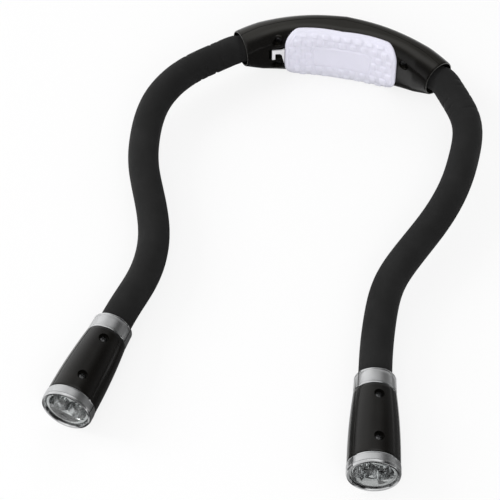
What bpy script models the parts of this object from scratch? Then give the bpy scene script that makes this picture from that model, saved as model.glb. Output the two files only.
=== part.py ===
# Neck reading light: an arched battery housing that rests on the nape, two flexible sleeved arms
# and a twin-LED head on the end of each arm, lying flat on a table as it is put down.
# Metres, +Z up. The origin is on the table, in the middle of the housing's flat underside, on the
# centreline of its arch. The arms leave towards -Y, and +X is the wearer's left when it is worn.

import math

import bmesh
import bpy
from mathutils import Matrix, Vector

# General
CLEARANCE = 0.0003
OVERRUN = 0.002
HEAD_SIDES = 24
CELL_SIDES = 16
HOLE_SIDES = 16
BORE_SIDES = 10
SCREW_SIDES = 10

# Housing, in sections square to an arch that lies level
HOUSING_CHORD = 0.1142
ARCH_RADIUS = 0.1208
HOUSING_DEPTH = 0.0168
MOUTH_DIAMETER = 0.0204
MOUTH_LEAN = math.radians(8)
HOUSING_WALL = 0.0014
MOUTH_WALL = 0.00075
INNER_CORNER = 0.0053
OUTER_CORNER = 0.0050
FLAT_SHARE = 0.15
MOUTH_SHARE = 0.80
PARTING_SHARE = 0.80
ROUNDEST_SHARE = 0.95
TAPER_POWER = 2.2
SWELL_POWER = 3.3
ROUNDING_POWER = 0.8
CORNER_STEPS = 3
ARCH_STATIONS = 12

# Battery opening, its door and the soft pad that covers them
OPENING_ROOM = 0.0015
OPENING_MARGIN = 0.0017
PLATE_FLAT_SHARE = 0.85
PAD_WIDTH = 0.0658
PAD_SHIFT = 0.0008
PAD_MARGIN = 0.00115
PAD_EDGE_RISE = 0.0010
PAD_RISE = 0.0020
PAD_ROUNDING = 0.0030
PAD_CORNER = 0.0080
PANEL_WIDTH = 0.0330
PANEL_HEIGHT = 0.0140
PANEL_RISE = 0.0024
BLOCK_SIZE = 0.0040
BLOCK_TAPER_SHARE = 0.72
BLOCK_PROUD = 0.0007
BLOCK_ROOT = 0.0006
BLOCK_COLUMN_PITCH = 0.0064
BLOCK_ROW_PITCH = 0.00495
BLOCK_EDGE = 0.0030

# Door latch, a tee-shaped tab in a shallow recess
LATCH_ROOT_DROP = 0.0080
LATCH_ROOT_LENGTH = 0.0025
LATCH_NECK_WIDTH = 0.0032
LATCH_BAR_WIDTH = 0.0087
LATCH_BAR_LENGTH = 0.0018
LATCH_LENGTH = 0.0072
LATCH_THICKNESS = 0.0014
LATCH_LIFT = 0.0005
LATCH_RAISE = 0.0020
RECESS_LENGTH = 0.0088
RECESS_MARGIN = 0.0004
RECESS_DEPTH = 0.0007

# Cells and contacts
CELL_DIAMETER = 0.0105
CELL_LENGTH = 0.0445
CELL_NUB_DIAMETER = 0.0038
CELL_NUB_LENGTH = 0.0009
CELL_PITCH = 0.01075
CELL_EDGE = 0.0004
CELL_BACK_GAP = 0.0004
CELL_ROOM = 0.0009
SPRING_SPACE = 0.0052
SPRING_WIRE = 0.0006
SPRING_DIAMETER = 0.0060
SPRING_TURNS = 3
SPRING_STEPS = 8
CONTACT_THICKNESS = 0.0005
CONTACT_DEPTH = 0.0076
CONTACT_MARGIN = 0.0022
RIB_THICKNESS = 0.0015

# Self-tapping screws and the posts that take them
SCREW_HEAD_DIAMETER = 0.0038
SCREW_HEAD_HEIGHT = 0.0015
SCREW_SHANK_DIAMETER = 0.0022
SCREW_SLOT_WIDTH = 0.0006
SCREW_SLOT_DEPTH = 0.0007
SCREW_HOLE_DIAMETER = 0.0052
SCREW_RECESS = 0.0021
POST_DIAMETER = 0.0048
BOSS_DIAMETER = 0.0074
BOSS_FLOOR = 0.0026
RIGHT_SCREW_X = 0.0366
RIGHT_SCREW_RISE = 0.0072
LEFT_SCREW_X = 0.0354
LEFT_SCREW_RISE = 0.0098
LEFT_SCREW_DROP = 0.0074
HOUSING_SCREW_LENGTH = 0.0095

# Arms: a rubber sleeve over a hollow flexible core, in segments that bend against each other
SLEEVE_DIAMETER = 0.0164
SLEEVE_END_DIAMETER = 0.0170
SLEEVE_BORE = 0.0090
CORE_DIAMETER = 0.0080
CORE_BORE = 0.0050
LEFT_ARM_LENGTH = 0.2236
RIGHT_ARM_LENGTH = 0.2218
LEFT_COLLAR_HEIGHT = 0.0119
RIGHT_COLLAR_HEIGHT = 0.01335
LEAD_IN = 0.0090
ROOT_LENGTH = 0.0092
CORE_ROOT_EXTRA = 0.0062
SADDLE_THICKNESS = 0.0020
SADDLE_INSET = 0.0024
BALL_STEP = 0.0005
JOINT_LAND = 0.0034
CORE_START = 0.0086
CORE_REACH = 0.0062
STEP_RAMP = 0.0003
RING_PITCH = 0.0120
PATH_STEP = 0.0005
SLEEVE_TAIL = 0.0034
CORE_TAIL = 0.0088

# Heads, along an axis that starts at the rear of the collar
COLLAR_DIAMETER = 0.0217
COLLAR_REAR_DIAMETER = 0.0212
COLLAR_LENGTH = 0.0094
COLLAR_EDGE = 0.0006
BODY_LENGTH = 0.0413
BODY_REAR_DIAMETER = 0.0218
BODY_MIDDLE_DIAMETER = 0.0252
BODY_FRONT_DIAMETER = 0.0262
BODY_WALL = 0.0015
NECK_DIAMETER = 0.0184
NECK_LENGTH = 0.0057
SHELL_SPLIT = 0.0080
BEZEL_DIAMETER = 0.0267
BEZEL_LENGTH = 0.0060
BEZEL_OPENING = 0.0232
BEZEL_LIP = 0.0012
BEZEL_EDGE = 0.0004
SKIRT_DIAMETER = 0.0224
SKIRT_BORE = 0.0204
SKIRT_LENGTH = 0.0048
LENS_DIAMETER = 0.0236
LENS_THICKNESS = 0.0012
FLANGE_THICKNESS = 0.0017
REFLECTOR_DEPTH = 0.0085
REFLECTOR_DIAMETER = 0.0196
CUP_DIAMETER = 0.0102
CUP_OFFSET = 0.0047
CUP_DEPTH = 0.0066
LED_HOLE_DIAMETER = 0.0058
LED_DIAMETER = 0.0050
LED_FLANGE_DIAMETER = 0.0056
LED_FLANGE_HEIGHT = 0.0010
LED_LENGTH = 0.0084
LEFT_TWIST = math.radians(13)
RIGHT_TWIST = math.radians(9)
REAR_SCREW_SETBACK = 0.0064
FRONT_SCREW_SETBACK = 0.0090
HEAD_SCREW_LENGTH = 0.0072
BARREL_STEPS = 3

# Push button and its switch, on the side of the head opposite the screws
BUTTON_DIAMETER = 0.0064
BUTTON_FLANGE_DIAMETER = 0.0080
BUTTON_FLANGE_THICKNESS = 0.0006
BUTTON_INSET = 0.00015
BUTTON_EDGE = 0.0004
BUTTON_TRAVEL = 0.0008
SWITCH_SIZE = 0.0060
SWITCH_HEIGHT = 0.0026
PLUNGER_DIAMETER = 0.0030
PLUNGER_HEIGHT = 0.0008
BOARD_THICKNESS = 0.0010
BOARD_LENGTH = 0.0130
BOARD_WIDTH = 0.0180

# Directions of each arm in degrees, at equal shares of its length from the mouth to the collar.
# 0 points away from the middle of the housing and -90 straight towards the reader.
LEFT_HEADINGS = (-45, -45, -66, -89, -101, -113, -109, -93, -77, -81)
RIGHT_HEADINGS = (-58, -59, -86, -95, -105, -112, -109, -91, -85, -81)
JOINT_SHARES = (0.12, 0.38, 0.64, 0.90)

# Values that follow from the sizes above
HALF_ANGLE = math.asin(HOUSING_CHORD / 2 / ARCH_RADIUS)
HOUSING_HEIGHT = 2 * CELL_PITCH + CELL_DIAMETER + 2 * (HOUSING_WALL + CELL_ROOM)
HOUSING_MIDDLE = HOUSING_HEIGHT / 2
FACE_RADIUS = ARCH_RADIUS - HOUSING_DEPTH / 2
HEAD_AXIS = BEZEL_DIAMETER / 2 + CLEARANCE / 2
MOUTH_RADIUS = MOUTH_DIAMETER / 2
BAY_LENGTH = CELL_LENGTH + SPRING_SPACE + CLEARANCE
OPENING_WIDTH = BAY_LENGTH + 2 * OPENING_ROOM
BODY_START = COLLAR_LENGTH + CLEARANCE
BODY_END = BODY_START + BODY_LENGTH
HEAD_LENGTH = BODY_END + CLEARANCE + BEZEL_LENGTH
HEAD_SCREW_PLACES = (BODY_START + REAR_SCREW_SETBACK, BODY_END - FRONT_SCREW_SETBACK)
BUTTON_PLACE = sum(HEAD_SCREW_PLACES) / 2

# Colour, roughness and metallic value of each finish
FINISHES = {
    "black_gloss_plastic": ((0.012, 0.011, 0.010), 0.18, 0.0),
    "soft_white_rubber": ((0.76, 0.74, 0.84), 0.45, 0.0),
    "white_plastic": ((0.70, 0.70, 0.70), 0.35, 0.0),
    "charcoal_rubber": ((0.020, 0.020, 0.021), 0.75, 0.0),
    "satin_silver": ((0.56, 0.57, 0.58), 0.28, 1.0),
    "chrome": ((0.80, 0.80, 0.80), 0.06, 1.0),
    "steel": ((0.50, 0.50, 0.50), 0.30, 1.0),
    "clear_plastic": ((0.90, 0.92, 0.93), 0.05, 0.0),
    "cell_jacket": ((0.14, 0.20, 0.30), 0.35, 0.4),
    "nickel": ((0.62, 0.60, 0.55), 0.30, 1.0),
    "board_green": ((0.03, 0.16, 0.07), 0.50, 0.0),
}


def clear_scene():
    for item in list(bpy.data.objects):
        bpy.data.objects.remove(item)
    for name in ("neck_reading_light", "cutters"):
        collection = bpy.data.collections.new(name)
        bpy.context.scene.collection.children.link(collection)


def finish(name):
    material = bpy.data.materials.get(name)
    if material is None:
        colour, roughness, metallic = FINISHES[name]
        material = bpy.data.materials.new(name)
        material.use_nodes = True
        shader = material.node_tree.nodes["Principled BSDF"]
        shader.inputs["Base Color"].default_value = (*colour, 1)
        shader.inputs["Roughness"].default_value = roughness
        shader.inputs["Metallic"].default_value = metallic
        material.diffuse_color = (*colour, 1)
    return material


def mix(start, end, share):
    return start + (end - start) * share


def smooth(share):
    share = min(max(share, 0), 1)
    return share * share * (3 - 2 * share)


# Objects

def add_object(name, mesh, matrix=None):
    item = bpy.data.objects.new(name, mesh)
    item.matrix_basis = matrix or Matrix()
    bpy.data.collections["cutters"].objects.link(item)
    item.hide_render = True
    item.display_type = "WIRE"
    return item


def make_piece(item, finish_name, parent=None):
    """Turns a helper into a piece of the light, shaded, and carried by its joint's empty."""
    bpy.data.collections["cutters"].objects.unlink(item)
    bpy.data.collections["neck_reading_light"].objects.link(item)
    item.hide_render = False
    item.display_type = "TEXTURED"
    item.data.materials.clear()
    item.data.materials.append(finish(finish_name))
    if item.type == "MESH":
        item.data.shade_smooth()
        item.data.set_sharp_from_angle(angle=math.radians(35))
    if parent is not None:
        item.parent = parent
        item.matrix_parent_inverse = parent.matrix_basis.inverted()
        if "world" in parent:
            item.matrix_parent_inverse = stored_world(parent).inverted()
    return item


def stored_world(empty):
    values = list(empty["world"])
    return Matrix([values[row * 4:row * 4 + 4] for row in range(4)])


def add_pivot(name, matrix, parent=None):
    """An empty on a joint's axis, which carries all that the joint moves."""
    empty = bpy.data.objects.new(name, None)
    empty.empty_display_size = SLEEVE_DIAMETER
    bpy.data.collections["neck_reading_light"].objects.link(empty)
    empty["world"] = [value for row in matrix for value in row]
    if parent is not None:
        empty.parent = parent
        empty.matrix_basis = stored_world(parent).inverted() @ matrix
    else:
        empty.matrix_basis = matrix
    return empty


def from_bmesh(name, shape, matrix=None):
    mesh = bpy.data.meshes.new(name)
    shape.to_mesh(mesh)
    shape.free()
    return add_object(name, mesh, matrix)


def cone(name, radius_low, radius_high, depth, sides, matrix):
    """A cylinder or cone that stands on the origin of its matrix, along its Z."""
    shape = bmesh.new()
    bmesh.ops.create_cone(shape, cap_ends=True, segments=sides, radius1=radius_low, radius2=radius_high,
                          depth=depth, matrix=Matrix.Translation((0, 0, depth / 2)))
    return from_bmesh(name, shape, matrix)


def box(name, low, high, matrix=None):
    low = Vector(low)
    high = Vector(high)
    shape = bmesh.new()
    bmesh.ops.create_cube(shape, size=1, matrix=Matrix.Translation((low + high) / 2)
                          @ Matrix.Diagonal((*(high - low), 1)))
    return from_bmesh(name, shape, matrix)


def ball(name, radius, segments, rings, matrix):
    shape = bmesh.new()
    bmesh.ops.create_uvsphere(shape, u_segments=segments, v_segments=rings, radius=radius)
    return from_bmesh(name, shape, matrix)


def turned(name, profile, steps, matrix, closed=False):
    """A profile of (radius, height) pairs, its outer side from top to bottom, turned about Z."""
    mesh = bpy.data.meshes.new(name)
    edges = [(index, index + 1) for index in range(len(profile) - 1)]
    if closed:
        edges.append((len(profile) - 1, 0))
    mesh.from_pydata([(radius, 0, height) for radius, height in profile], edges, [])
    item = add_object(name, mesh, matrix)
    screw = item.modifiers.new("turn", "SCREW")
    screw.steps = steps
    screw.render_steps = steps
    screw.use_merge_vertices = True
    screw.merge_threshold = 0.00001
    return item


def loft(name, rings, matrix=None):
    """A closed solid skinned over rings of points, with a flat cap on each end."""
    shape = bmesh.new()
    loops = [[shape.verts.new(point) for point in ring] for ring in rings]
    for near, far in zip(loops, loops[1:]):
        for index in range(len(near)):
            after = (index + 1) % len(near)
            shape.faces.new((near[index], near[after], far[after], far[index]))
    shape.faces.new(list(reversed(loops[0])))
    shape.faces.new(loops[-1])
    bmesh.ops.recalc_face_normals(shape, faces=shape.faces)
    if shape.calc_volume(signed=True) < 0:
        bmesh.ops.reverse_faces(shape, faces=shape.faces)
    bmesh.ops.triangulate(shape, faces=shape.faces)
    return from_bmesh(name, shape, matrix)


def tube(name, points, radii, resolution):
    """A tube swept along points, as a mesh, so that it can be cut."""
    curve = bpy.data.curves.new(name, "CURVE")
    curve.dimensions = "3D"
    curve.bevel_depth = 1
    curve.bevel_resolution = resolution
    curve.use_fill_caps = True
    spline = curve.splines.new("POLY")
    spline.points.add(len(points) - 1)
    for place, point, radius in zip(spline.points, points, radii):
        place.co = (*point, 1)
        place.radius = radius
    guide = bpy.data.objects.new(name + "_guide", curve)
    bpy.context.scene.collection.objects.link(guide)
    graph = bpy.context.evaluated_depsgraph_get()
    mesh = bpy.data.meshes.new_from_object(guide.evaluated_get(graph))
    bpy.data.objects.remove(guide)
    bpy.data.curves.remove(curve)
    shape = bmesh.new()
    shape.from_mesh(mesh)
    bmesh.ops.remove_doubles(shape, verts=shape.verts, dist=0.000001)
    bmesh.ops.recalc_face_normals(shape, faces=shape.faces)
    shape.to_mesh(mesh)
    shape.free()
    mesh.name = name
    return add_object(name, mesh)


def combine(item, other, operation):
    modifier = item.modifiers.new(operation.lower(), "BOOLEAN")
    modifier.operation = operation
    modifier.object = other


def cut(item, *cutters):
    for cutter in cutters:
        combine(item, cutter, "DIFFERENCE")


def join(item, *others):
    for other in others:
        combine(item, other, "UNION")


def keep_within(item, other):
    combine(item, other, "INTERSECT")


# Housing sections

def eased(share, start, end, power):
    along = (abs(share) - start) / (end - start)
    return min(max(along, 0), 1) ** power


def section(share):
    """Half depth, half height, inner and outer corner radius and wall at a share of the half arch."""
    taper = eased(share, FLAT_SHARE, 1, TAPER_POWER)
    swell = eased(share, 0, MOUTH_SHARE, SWELL_POWER)
    rounding = eased(share, 0, 1, ROUNDING_POWER)
    half_height = mix(HOUSING_HEIGHT / 2, MOUTH_RADIUS, taper)
    half_depth = mix(HOUSING_DEPTH / 2, MOUTH_RADIUS, swell)
    roundest = MOUTH_RADIUS * ROUNDEST_SHARE
    inner = min(mix(INNER_CORNER, roundest, rounding), half_depth * ROUNDEST_SHARE)
    outer = min(mix(OUTER_CORNER, roundest, rounding), half_depth * ROUNDEST_SHARE)
    wall = mix(HOUSING_WALL, MOUTH_WALL, swell)
    return half_depth, half_height, inner, outer, wall


def parting(share):
    half_depth, _, _, outer, _ = section(share)
    return (half_depth - outer) * PARTING_SHARE


def arch_place(share, across, up):
    """The point at a share of the half arch, so far outwards from its centreline and so far up."""
    angle = share * HALF_ANGLE
    reach = ARCH_RADIUS + across
    return Vector((reach * math.sin(angle), reach * math.cos(angle) - ARCH_RADIUS, HOUSING_MIDDLE + up))


def leaned_place(share, across, up):
    """As arch_place, with the last sections turned, so that each mouth faces a little more forwards."""
    lean = math.tan(MOUTH_LEAN) * eased(share, MOUTH_SHARE, 1, 1)
    return arch_place(share + math.copysign(share_of_arc(across * lean), share * across), across, up)


def side_outline(share, inset, outwards, edge):
    """Half of a section's outline, from its top to its bottom, on the outer or on the inner side."""
    half_depth, half_height, inner, outer, _ = section(share)
    radius = outer if outwards else inner
    sign = 1 if outwards else -1
    points = [(edge, half_height - inset)]
    for upper in (True, False):
        for step in range(CORNER_STEPS + 1):
            turn = math.pi / 2 * step / CORNER_STEPS
            turn = turn if upper else math.pi / 2 - turn
            across = half_depth - radius + (radius - inset) * math.sin(turn)
            up = half_height - radius + (radius - inset) * math.cos(turn)
            points.append((sign * across, up if upper else -up))
    points.append((edge, -(half_height - inset)))
    return points


def arch_shares(start=-1, end=1, stations=ARCH_STATIONS):
    return [mix(start, end, step / stations) for step in range(stations + 1)]


def shell_half(name, outwards):
    """One casing half, as a channel between its outer outline and the same outline set in by the wall."""
    rings = []
    for share in arch_shares():
        wall = section(share)[4]
        edge = parting(share) - (0 if outwards else CLEARANCE)
        outline = side_outline(share, 0, outwards, edge)
        outline += reversed(side_outline(share, wall, outwards, edge))
        rings.append([leaned_place(share, across, up) for across, up in outline])
    return loft(name, rings)


def whole_form(name, inset, outer_shift, reach):
    """The solid form of the housing, set in all round and then moved outwards."""
    rings = []
    for share in arch_shares(-reach, reach):
        outline = side_outline(share, inset, True, 0)[1:-1]
        outline += reversed(side_outline(share, inset, False, 0)[1:-1])
        rings.append([leaned_place(share, across + outer_shift, up) for across, up in outline])
    return loft(name, rings)


def face_point(share, up):
    """A point of the housing's inner face at a height, with the direction square to the face there."""
    half_depth, half_height, inner, _, _ = section(share)
    beyond = abs(up) - (half_height - inner)
    if beyond <= 0:
        return Vector((-half_depth, up)), Vector((-1, 0))
    lean = math.asin(min(beyond / inner, 1))
    normal = Vector((-math.cos(lean), math.copysign(math.sin(lean), up)))
    middle = Vector((-(half_depth - inner), math.copysign(half_height - inner, up)))
    return middle + normal * inner, normal


def face_frame(share, up, rise):
    """A frame on the inner face: X along the arch, Z out of the face, and its origin lifted by rise."""
    base, normal = face_point(share, up)
    angle = share * HALF_ANGLE
    along = Vector((math.cos(angle), -math.sin(angle), 0))
    outward = Vector((math.sin(angle), math.cos(angle), 0))
    out = outward * normal.x + Vector((0, 0, 1)) * normal.y
    over = out.cross(along)
    place = arch_place(share, *(base + normal * rise))
    return Matrix.Translation(place) @ Matrix((along, over, out)).transposed().to_4x4()


def share_of_arc(arc):
    return arc / (ARCH_RADIUS * HALF_ANGLE)


def share_of_face(arc):
    return arc / (FACE_RADIUS * HALF_ANGLE)


def share_of_x(place):
    return math.asin(place / FACE_RADIUS) / HALF_ANGLE


# Housing pieces

def opening_form(name, gap):
    """The opening that the cells go in by, with straight sides, less a gap all round."""
    back = arch_place(0, 0, 0).y
    front = arch_place(1, 0, 0).y - MOUTH_DIAMETER
    half_width = OPENING_WIDTH / 2 - gap
    rings = []
    for step in range(ARCH_STATIONS + 1):
        place = mix(-half_width, half_width, step / ARCH_STATIONS)
        half_height = section(share_of_x(place))[1] - OPENING_MARGIN - gap
        corners = ((front, -half_height), (back, -half_height), (back, half_height), (front, half_height))
        rings.append([(place, depth, HOUSING_MIDDLE + up) for depth, up in corners])
    return loft(name, rings)


def screw_places():
    """The three housing screws: one at the right, and one above and one below the latch at the left."""
    return {
        "housing_screw_right": (RIGHT_SCREW_X, RIGHT_SCREW_RISE),
        "housing_screw_left_upper": (-LEFT_SCREW_X, LEFT_SCREW_RISE),
        "housing_screw_left_lower": (-LEFT_SCREW_X, -LEFT_SCREW_DROP),
    }


def screw_frame(place, up):
    """A frame on the inner face with Z along +Y, into the housing."""
    share = share_of_x(place)
    base, _ = face_point(share, up)
    depth = arch_place(share, base.x, up).y
    turn = Matrix.Rotation(-math.pi / 2, 4, "X")
    return Matrix.Translation((place, depth, HOUSING_MIDDLE + up)) @ turn


def make_screw(name, frame, length, parent=None):
    """A pan-head screw whose head sits on the floor of its recess, with a cross slot."""
    head = SCREW_HEAD_DIAMETER / 2
    shank = SCREW_SHANK_DIAMETER / 2
    seat = SCREW_RECESS - CLEARANCE
    top = seat - SCREW_HEAD_HEIGHT
    profile = [
        (0, seat + length),
        (shank / 2, seat + length),
        (shank, seat + length - shank),
        (shank, seat),
        (head, seat),
        (head, top + SCREW_HEAD_HEIGHT / 3),
        (head - SCREW_HEAD_HEIGHT / 3, top),
        (0, top),
    ]
    item = turned(name, profile, SCREW_SIDES, frame)
    half = SCREW_SLOT_WIDTH / 2
    reach = head / 2
    for suffix, wide, tall in (("a", reach, half), ("b", half, reach)):
        slot = box(f"{name}_slot_{suffix}", (-wide, -tall, top - OVERRUN), (wide, tall, top + SCREW_SLOT_DEPTH),
                   frame)
        cut(item, slot)
    return make_piece(item, "steel", parent)


def make_outer_shell(inset_form, rib_form):
    shell = shell_half("outer_shell", True)
    side = BAY_LENGTH / 2 + CONTACT_THICKNESS + 2 * CLEARANCE
    front = arch_place(1, 0, 0).y - MOUTH_DIAMETER
    back = arch_place(0, HOUSING_DEPTH, 0).y
    for name, sign in (("left", -1), ("right", 1)):
        near, far = sorted((sign * side, sign * (side + RIB_THICKNESS)))
        rib = box(f"bay_rib_{name}", (near, front, 0), (far, back, HOUSING_HEIGHT))
        keep_within(rib, rib_form)
        join(shell, rib)
        place = sign * (1 - share_of_arc(ROOT_LENGTH + SADDLE_INSET))
        frame = face_frame(place, 0, 0)
        half = SADDLE_THICKNESS / 2
        reach = HOUSING_HEIGHT
        saddle = box(f"saddle_{name}", (-half, -reach, -reach), (half, reach, OVERRUN), frame)
        keep_within(saddle, rib_form)
        gap = CORE_DIAMETER / 2 + CLEARANCE
        floor = section(place)[0] + gap
        slot = box(f"saddle_slot_{name}", (-SADDLE_THICKNESS, -gap, -floor), (SADDLE_THICKNESS, gap, reach), frame)
        cut(saddle, slot)
        join(shell, saddle)
    for name, (place, up) in screw_places().items():
        frame = screw_frame(place, up)
        start = SCREW_RECESS + BOSS_FLOOR + CLEARANCE
        post = cone(f"{name}_post", POST_DIAMETER / 2, POST_DIAMETER / 2, HOUSING_HEIGHT, HOLE_SIDES,
                    frame @ Matrix.Translation((0, 0, start)))
        keep_within(post, inset_form)
        join(shell, post)
        bore = SCREW_SHANK_DIAMETER / 2 + CLEARANCE
        depth = SCREW_RECESS + HOUSING_SCREW_LENGTH + CLEARANCE
        cut(shell, cone(f"{name}_bore", bore, bore, depth, BORE_SIDES, frame))
    return make_piece(shell, "black_gloss_plastic")


def make_inner_shell(inset_form):
    shell = shell_half("inner_shell", False)
    cut(shell, opening_form("door_opening", 0))
    for name, (place, up) in screw_places().items():
        frame = screw_frame(place, up)
        boss = cone(f"{name}_boss", BOSS_DIAMETER / 2, BOSS_DIAMETER / 2, SCREW_RECESS + BOSS_FLOOR, HOLE_SIDES, frame)
        keep_within(boss, inset_form)
        join(shell, boss)
        recess = SCREW_HOLE_DIAMETER / 2
        cut(shell, cone(f"{name}_recess", recess, recess, SCREW_RECESS + OVERRUN, HOLE_SIDES,
                        frame @ Matrix.Translation((0, 0, -OVERRUN))))
        hole = SCREW_SHANK_DIAMETER / 2 + CLEARANCE
        cut(shell, cone(f"{name}_hole", hole, hole, HOUSING_DEPTH, BORE_SIDES, frame))
    frame = latch_frame(0)
    half_width = LATCH_BAR_WIDTH / 2 + RECESS_MARGIN
    cut(shell, box("latch_recess", (-RECESS_LENGTH, -half_width, -RECESS_DEPTH), (OVERRUN / 2, half_width, OVERRUN),
                   frame))
    return make_piece(shell, "black_gloss_plastic")


def hinge_frame():
    """The door's hinge: upright, at the right edge of the pad, just above the housing's face."""
    share = share_of_face(PAD_SHIFT + PAD_WIDTH / 2)
    base, normal = face_point(share, 0)
    place = arch_place(share, *(base + normal * CLEARANCE))
    return Matrix.Translation(place)


def latch_frame(rise):
    """A frame at the left edge of the pad, where the latch starts."""
    arc = PAD_SHIFT - PAD_WIDTH / 2 - CLEARANCE
    return face_frame(share_of_face(arc), LATCH_RAISE, rise)


def plate_heights(share, half_height):
    """Heights across a plate on the inner face, close together where the face rounds over."""
    _, body_height, inner, _, _ = section(share)
    corner = min(body_height - inner, half_height * PLATE_FLAT_SHARE)
    lean = math.asin(min(max(half_height - corner, 0) / inner, 1))
    ratios = [math.sin(lean * step / CORNER_STEPS) / math.sin(lean) for step in range(CORNER_STEPS + 1)]
    upper = [mix(corner, half_height, ratio) for ratio in ratios]
    return [-up for up in reversed(upper)] + [0] + upper


def plate_rings(width, shift, margin, corner, rise_at, under):
    """Sections of a plate that lies on the inner face, its outline a rectangle with round corners."""
    edge_shares = (0, 0.012, 0.04, 0.10, 0.26, 0.5)
    shares = edge_shares + tuple(1 - share for share in reversed(edge_shares[:-1]))
    rings = []
    for share_along in shares:
        along = (share_along - 0.5) * width
        share = share_of_face(along + shift)
        half_height = section(share)[1] - margin
        into_corner = corner - (width / 2 - abs(along))
        if into_corner > 0:
            half_height -= corner - math.sqrt(max(corner ** 2 - into_corner ** 2, 0))
        top = []
        bottom = []
        for up in plate_heights(share, half_height):
            base, normal = face_point(share, up)
            room = min(width / 2 - abs(along), half_height - abs(up))
            top.append(arch_place(share, *(base + normal * rise_at(room))))
            bottom.append(arch_place(share, *(base + normal * under)))
        rings.append(top + bottom[::-1])
    return rings


def make_door(pivot):
    door = shell_half("battery_door", False)
    keep_within(door, opening_form("door_outline", CLEARANCE))
    return make_piece(door, "black_gloss_plastic", pivot)


def block_places():
    """Places of the raised blocks, in staggered rows that leave the middle panel free."""
    places = []
    half_height = HOUSING_HEIGHT / 2 - PAD_MARGIN
    rows = int((half_height - BLOCK_EDGE / 2) / BLOCK_ROW_PITCH)
    columns = int(PAD_WIDTH / 2 / BLOCK_COLUMN_PITCH) + 1
    for row in range(-rows, rows + 1):
        stagger = 0 if (row + rows) % 2 == 0 else BLOCK_COLUMN_PITCH / 2
        up = row * BLOCK_ROW_PITCH
        for column in range(-columns, columns + 1):
            along = column * BLOCK_COLUMN_PITCH + stagger
            beside = abs(along) > PANEL_WIDTH / 2 + BLOCK_SIZE / 2
            above = abs(up) > PANEL_HEIGHT / 2 + BLOCK_SIZE / 4
            room = PAD_WIDTH / 2 - abs(along)
            limit = section(share_of_face(along + PAD_SHIFT))[1] - PAD_MARGIN
            if room < PAD_CORNER:
                limit -= PAD_CORNER - math.sqrt(max(PAD_CORNER ** 2 - (PAD_CORNER - room) ** 2, 0))
            if (beside or above) and room > BLOCK_EDGE and limit - abs(up) > BLOCK_EDGE * 0.6:
                places.append((along + PAD_SHIFT, up, min(room, limit - abs(up))))
    return places


def pad_rise(room):
    """Height of the pad's surface above the housing, so far in from its edge."""
    return mix(PAD_EDGE_RISE, PAD_RISE, smooth(room / PAD_ROUNDING))


def make_pad(pivot):
    pad = loft("comfort_pad", plate_rings(PAD_WIDTH, PAD_SHIFT, PAD_MARGIN, PAD_CORNER, pad_rise, CLEARANCE))
    panel_margin = (HOUSING_HEIGHT - PANEL_HEIGHT) / 2
    panel = loft("pad_panel", plate_rings(PANEL_WIDTH, PAD_SHIFT, panel_margin, PAD_ROUNDING,
                                          lambda room: PANEL_RISE, BLOCK_ROOT))
    join(pad, panel)
    blocks = bmesh.new()
    for arc, up, room in block_places():
        depth = pad_rise(room) + BLOCK_PROUD - BLOCK_ROOT
        frame = face_frame(share_of_face(arc), up, BLOCK_ROOT + depth / 2)
        turn = Matrix.Rotation(math.pi / 4, 4, "Z")
        radius = BLOCK_SIZE / math.sqrt(2)
        bmesh.ops.create_cone(blocks, cap_ends=True, segments=4, radius1=radius,
                              radius2=radius * BLOCK_TAPER_SHARE, depth=depth, matrix=frame @ turn)
    join(pad, from_bmesh("pad_blocks", blocks))
    return make_piece(pad, "soft_white_rubber", pivot)


def make_latch(pivot):
    """A tee: a root that widens to the pad, a neck, and a bar for the fingertip."""
    frame = latch_frame(LATCH_LIFT)
    bar = LATCH_BAR_WIDTH / 2
    bar_start = LATCH_BAR_LENGTH - LATCH_LENGTH
    neck_low = bar - LATCH_NECK_WIDTH
    outline = [
        (0, -LATCH_ROOT_DROP),
        (0, bar + LATCH_NECK_WIDTH / 3),
        (-LATCH_ROOT_LENGTH, bar),
        (-LATCH_LENGTH, bar),
        (-LATCH_LENGTH, -bar),
        (bar_start, -bar),
        (bar_start, neck_low),
        (-LATCH_ROOT_LENGTH, neck_low),
    ]
    rings = [[(along, up, rise) for along, up in outline] for rise in (0, LATCH_THICKNESS)]
    return make_piece(loft("door_latch", rings, frame), "white_plastic", pivot)


def cell_depth():
    """Y of the cells' axes: their ends near the outer wall, which is where the straight cells meet the arch."""
    end = CELL_LENGTH / 2 + SPRING_SPACE / 2
    reach = ARCH_RADIUS + HOUSING_DEPTH / 2 - HOUSING_WALL
    wall = math.sqrt(reach ** 2 - end ** 2) - ARCH_RADIUS
    return wall - CELL_BACK_GAP - CELL_DIAMETER / 2


def bay_frame(up, sign):
    """A frame in the middle of the battery bay, with Z along the cells, towards their raised ends."""
    turn = Matrix.Rotation(sign * math.pi / 2, 4, "Y")
    return Matrix.Translation((0, cell_depth(), HOUSING_MIDDLE + up)) @ turn


def make_cell(name, frame):
    radius = CELL_DIAMETER / 2
    top = BAY_LENGTH / 2 - CLEARANCE
    low = top - CELL_LENGTH
    shoulder = top - CELL_NUB_LENGTH
    nub = CELL_NUB_DIAMETER / 2
    profile = [
        (0, top),
        (nub, top),
        (nub, shoulder),
        (radius - CELL_EDGE, shoulder),
        (radius, shoulder - CELL_EDGE),
        (radius, low + CELL_EDGE),
        (radius - CELL_EDGE, low),
        (0, low),
    ]
    return make_piece(turned(name, profile, CELL_SIDES, frame), "cell_jacket")


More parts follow.
